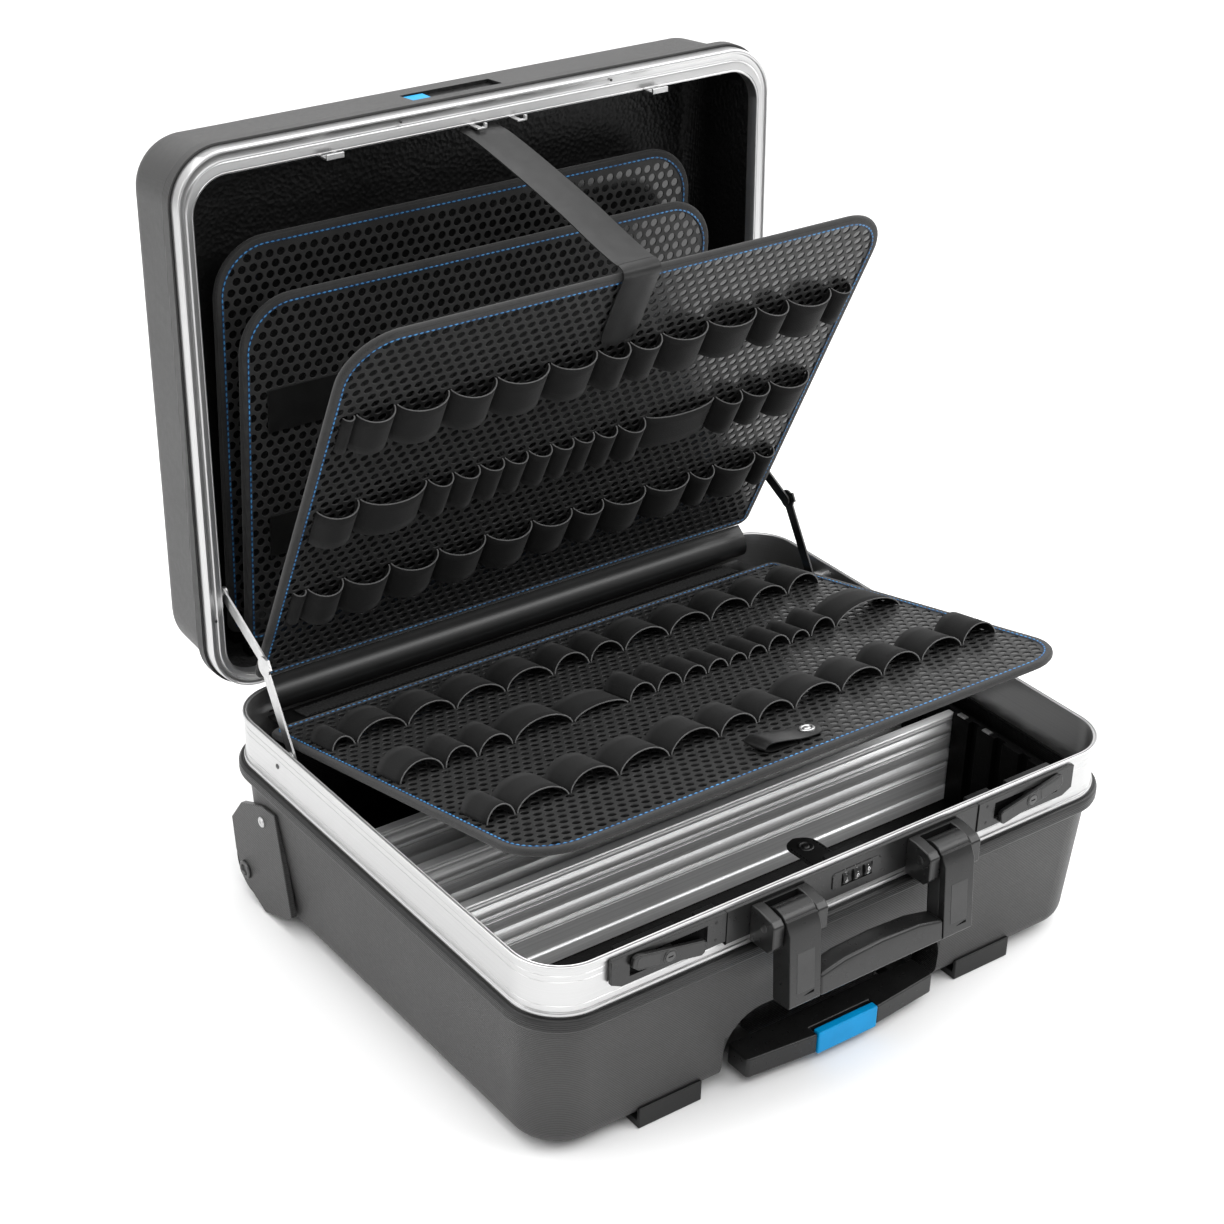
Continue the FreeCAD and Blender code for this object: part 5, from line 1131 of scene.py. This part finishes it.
def keepers():
    wire, hook = (-178.1, -176.7), (-180.6, -176.7)
    pieces = []
    for k, x in enumerate((-132, 137)):
        for side, mark in ((-1, "a"), (1, "b")):
            leg = x + side * 5.6
            pieces.append(("prong_%d_%s" % (k, mark), (leg - 1.1, leg + 1.1), wire, (147.2, 161), 0.3))
        pieces.append(("bar_%d" % k, (x - 6.7, x + 6.7), hook, (147.2, 149.2), 0.4))
        pieces.append(("back_%d" % k, (x - 6.7, x + 6.7), wire, (155.6, 158.0), 0.4))
    for k, x in enumerate((-17.6, 15.5)):
        pieces.append(("stem_%d" % k, (x - 2.2, x + 2.2), wire, (147.4, 161), 0.4))
        pieces.append(("hook_%d" % k, (x - 2.2, x + 5.8), wire, (147.2, 149.6), 0.4))
        pieces.append(("tip_%d" % k, (x + 3.8, x + 5.8), hook, (147.2, 149.6), 0.4))
    for number, (name, *box, edge) in enumerate(pieces):
        shape("keeper_" + name, slab(*box), STEEL, "lid", *first(number, "lid_keepers"),
              slot="bright_metal", edge=edge, move=OPEN)


keepers()


# Badge plate: bare, with a plain blue field

shape("badge_field", slab((-42, -26), (-190.1, -189.2), (191.5, 206.5)), BLUE, "lid",
      slot="blue_plastic", edge=0.3, move=OPEN)


# Locks on the front wall

SIDES = (("left", -1), ("right", 1))


def locks():
    cover = ((-29, -2.5), (-24, -5.5), (27, -5.5), (29, -3.5), (29, 4), (26.5, 5.5), (-26, 5.5), (-29, 3.6))
    pad = ((-26, -2), (-22, -4), (-8, -4), (-8, 4), (-24, 4), (-26, 2.6))
    ring = ((4.0, -201.8), (4.1, -202.3), (4.6, -202.45), (5.1, -202.3), (5.3, -201.8))
    middle = (0, 0, 0)
    for side, sign in SIDES:
        body = "lever_" + side
        tilt = Matrix.Translation((sign * 155 * MM, 0, 142 * MM))
        tilt = tilt @ Matrix.Rotation(math.radians(-sign * 11), 4, "Y")
        outer = plate([(sign * -a, b) for a, b in cover], -201.9, -198.3, "y")
        inner = plate([(sign * -a, b) for a, b in pad], -202.1, -201.5, "y")
        shaft = lathe(((6, -198.2), (6, -192)), middle, "y")
        shape("lever_body_" + side, outer, SATIN, body, "lock_lever_" + side, edge=0.8, move=tilt)
        shape("lever_pad_" + side, inner, PAD, body, edge=0.2, move=tilt)
        shape("lever_shaft_" + side, shaft, BLACK, body, move=tilt)
        shape("key_ring_" + side, lathe(ring, middle, "y", 36), PAD, body, move=tilt)
        # A near-black sheet in each bezel's pocket behind the lever is painted shade; the line beside it is a
        # dark joint.
        pit = slab((sign * 123.2, sign * 182.8), (-196.62, -196.45), (136.7, 148.8))
        joint = slab((sign * 108.2, sign * 107.2), (-198.05, -195.2), (128.2, 152.8))
        shape("bezel_pit_painted_shade_" + side, pit, SHADE_AND_JOINT_BLACK, "base")
        shape("bezel_joint_" + side, joint, SHADE_AND_JOINT_BLACK, "base")
        for k, z in enumerate((148.6, 135.6)):
            dimple = lathe(((1.2, 0), (1.2, -0.25), (0.8, -0.3)), (sign * 116, -197.9, z), "y", 16)
            shape("bezel_dimple_%s_%d" % (side, k), dimple, BLACK, "base")


locks()


# Combination window with its numbers

def window():
    left, right, low, high = -13.2, 13.2, 135.4, 145.6
    # every corner of the hole counts twice, to match the eight corners of the rim
    hole = ((left, low), (right, low), (right, low), (right, high),
            (right, high), (left, high), (left, high), (left, low))
    rim = ((-19, 134.2), (19, 134.2), (21, 136), (21, 145.2),
           (19, 147), (-19, 147), (-21, 145.2), (-21, 136))
    proud_rim = [(a * 0.97, 140.6 + (b - 140.6) * 0.94) for a, b in rim]
    verts, faces = [], []
    for y, points in ((-197.7, rim), (-198.5, proud_rim), (-198.5, hole), (-197.7, hole)):
        verts += [(a, y, b) for a, b in points]
    for j in range(4):
        for i in range(8):
            n, k = (i + 1) % 8, (j + 1) % 4
            quad = (j * 8 + i, j * 8 + n, k * 8 + n, k * 8 + i)
            if len({verts[q] for q in quad}) > 2:
                faces.append(quad)
    shape("window_rim", (verts, faces), SATIN, "base")


def digit_mesh(digit):
    """A figure as a flat raised mesh in millimetres."""
    curve = bpy.data.curves.new("digit", "FONT")
    curve.body = str(digit)
    curve.size = 4.3
    curve.resolution_u = 3
    curve.extrude = 0.06
    curve.align_x = "CENTER"
    curve.align_y = "CENTER"
    thing = place("digit", curve)
    made = worked_out(thing)
    bpy.data.objects.remove(thing)
    bpy.data.curves.remove(curve)
    return made


def numbers():
    """Ten figures round each dial."""
    radius, y, z = 6.5, -193.3, 140.5
    for k in range(3):
        verts, faces = [], []
        for digit in range(10):
            made = digit_mesh(digit)
            start = len(verts)
            for vertex in made.vertices:
                across, up, proud = vertex.co
                a = up / radius + math.radians(36 * digit - 18 + 12 * k)
                r = radius + proud
                verts.append((9.4 * (k - 1) + across, y - r * math.cos(a), z + r * math.sin(a)))
            faces += [tuple(start + q for q in polygon.vertices) for polygon in made.polygons]
            bpy.data.meshes.remove(made)
        shape("dial_numbers_%d" % (k + 1), (verts, faces), WHITE, "dial_%d" % (k + 1), slot=None)


window()
numbers()


# Handle brackets and the arms' inset panels

def handle():
    outline_points = ((-197.6, 124), (-216, 124), (-221, 129.5), (-221, 145.5),
                      (-217, 149), (-205, 151), (-197.6, 151))
    cap_profile = ((3.2, -0.4), (3.2, 0.15), (2.6, 0.4))
    lean = hinged(-211, 141, -5)
    for side, sign in SIDES:
        for k, (near, far, outer, way) in enumerate(((43.5, 52.5, 43.5, -sign), (79.5, 88.5, 88.5, sign))):
            cheek = plate(outline_points, sign * near, sign * far, "x")
            shape("bracket_cheek_%s_%d" % (side, k), cheek, SATIN, "base",
                  *first(k + (sign > 0), "handle_brackets"), edge=1.1, segments=3)
            cap = lathe([(r, h * way) for r, h in cap_profile], (sign * outer, -211, 141), "x", 28)
            shape("pin_cap_%s_%d" % (side, k), cap, DARK_STEEL_AND_SHADE, "base", slot="black_metal")
        web = slab((sign * 52, sign * 80), (-199.8, -197.6), (124.4, 150.6))
        shape("bracket_web_" + side, web, BLACK, "base", edge=0.3)
        x = sign * 66
        panel = slab((x - 7.2, x + 7.2), (-14.75, -14.2), (-48, -18))
        wedge = ((x - 1.5, -51.4), (x + 7.2, -51.4), (x + 7.2, -49.6), (x + 5.6, -49.6))
        slit = plate(wedge, -14.6, -14.2, "y")
        flank = slab((x - sign * 12.6, x - sign * 13.05), (-9, 0.5), (-44, -14))
        shape("arm_panel_" + side, panel, PAD, "handle", edge=0.25, move=lean)
        # The slit is a near-black sheet: painted shade.
        shape("arm_slit_painted_shade_" + side, slit, SHADE_AND_JOINT_BLACK, "handle", move=lean)
        shape("arm_flank_" + side, flank, PAD, "handle", edge=0.15, move=lean)


handle()


# Screws, bolts and rivets

def hardware():
    bolt = ((7, 0), (7, 1.5), (6.3, 2.1), (4.2, 2.2), (3.9, 1.4), (3.6, 0.9), (0.5, 0.9))
    screw = ((4, 0), (4, 0.5), (3.4, 1.1), (1.6, 1.2), (1.3, 0.7), (0.3, 0.7))
    rivet = ((1.9, 0), (1.9, 0.3), (1.2, 0.75), (0.3, 0.8))
    for k, (side, sign) in enumerate(SIDES):
        for name, profile, x, y, z, steps, material, nodes, slot in (
                ("axle_head_", bolt, 244, 174, 24, 32, DARK_STEEL_AND_SHADE, first(k, "axle_bolts"), "black_metal"),
                ("axle_rod_", ((4, 0), (4, 26.4)), 217.6, 174, 24, 32, STEEL, (), "bright_metal"),
                ("plate_screw_", screw, 244, 148, 79, 28, STEEL, first(k, "housing_screws"), "bright_metal"),
                ("frame_rivet_", rivet, 243.8, 122.3, 138.9, 20, DARK_STEEL_AND_SHADE, (), "black_metal")):
            turned = lathe([(r, sign * h) for r, h in profile], (sign * x, y, z), "x", steps)
            shape(name + side, turned, material, "base", *nodes, slot=slot)


hardware()


# Snap strap on the front wall and the folded tab on the base board

def stud(name, centre, body, material, move=None, up=1):
    """A press stud: a ring round a sunk cap."""
    profile = ((5.6, 0), (5.6, 0.8), (5.0, 1.3), (4.0, 1.35), (3.4, 0.9),
               (3.0, 0.7), (2.6, 0.9), (2.0, 1.5), (0.4, 1.7))
    turned = lathe([(r, up * h) for r, h in profile], centre, "z", 36)
    shape(name, turned, material, body, slot="bright_metal", move=move)


def snaps():
    line = upright(((-183.2, 131.4), (-170, 132.3), (-153, 132.1), (-141, 131.3), (-135, 130.6)), 8)
    obj, frames, lengths = ribbon("snap_strap_leather", line, 11.5, 1.5, TAB, True)
    settle(obj, "base", "snap_strap", slot="strap_leather")
    for mark, off in (("a", -9.6), ("b", 9.6)):
        seam = seam_on("snap_seam_" + mark, frames, lengths, off, 0.75, 3.0, 9.0)
        settle(seam, "base", slot="strap_leather")
    stud("snap_stud", (0, -148, 132.3), "base", BLACK)
    stand = hinged(*BOARDS["base_board"][3])
    fold = ((-8, -2.9), (-18, -3.4), (-29, -4.2), (-34.5, -6.6), (-30, -9.4),
            (-17, -7.6), (-4, -5.0), (6, -4.1), (18.5, -3.9))
    line = spline([(x, 299, z) for x, z in fold], 6)
    tab = ribbon("tab_leather", line, 11, 1.3, TAB, True, side=Vector((0, 1, 0)))[0]
    settle(tab, "base_tool_board", "base_board_tab", slot="strap_leather", move=stand)
    stud("tab_stud", (9, 299, -4.8), "base_tool_board", STEEL, stand, -1)


snaps()


# CAD nodes that keep their shape, with rounded edges or with a finish alone

for node, material, width in (
        ("lock_bezels", SATIN, 0.7), ("front_strip", SATIN, 0.4), ("handle_arms", SATIN, 1.2),
        ("handle_grip", SATIN, 2.2), ("trolley_grip", SATIN, 1.4), ("trolley_button", BLUE, 1.2),
        ("front_feet", BLACK, 0.8), ("wheel_housings", HOUSING, 0.9), ("side_racks", LINER, 0.6),
        ("lock_boxes", BLACK, 0.8), ("rack_clips", STEEL, 0.2), ("lid_board_anchors", LINER, 0.5),
        ("combination_frame", BLACK, 0.5), ("stay_lower_left", STEEL, 0.3), ("stay_upper_left", STEEL, 0.3),
        # the right stays are the same steel as the left ones; their dark steel is painted shade
        ("stay_lower_right", DARK_STEEL_AND_SHADE, 0.3), ("stay_upper_right", DARK_STEEL_AND_SHADE, 0.3),
        ("badge_plate", SATIN, 0.3),
        ("number_dial_1", BLACK, 0.4), ("number_dial_2", BLACK, 0.4), ("number_dial_3", BLACK, 0.4)):
    dress(node, material, width)
for material, nodes in (
        (SHELL, ("base_shell",)),
        (LID_SHELL, ("lid_shell",)),
        (LINER, ("inner_floor",)),
        (TYRE, ("wheel_tyre_left", "wheel_tyre_right")),
        (BLACK, ("wheel_rim_left", "wheel_rim_right", "trolley_channels")),
        (TUBE, ("trolley_middle_tubes", "trolley_inner_tubes")),
        (STEEL, ("hinge_base_leaves", "hinge_pins", "hinge_lid_leaves", "handle_pins")),
        (STEEL, ("stay_base_pivots", "stay_lid_pivots")),
        (DARK_STEEL_AND_SHADE, ("key_cylinder_left", "key_cylinder_right"))):
    for node in nodes:
        paint(node, material)
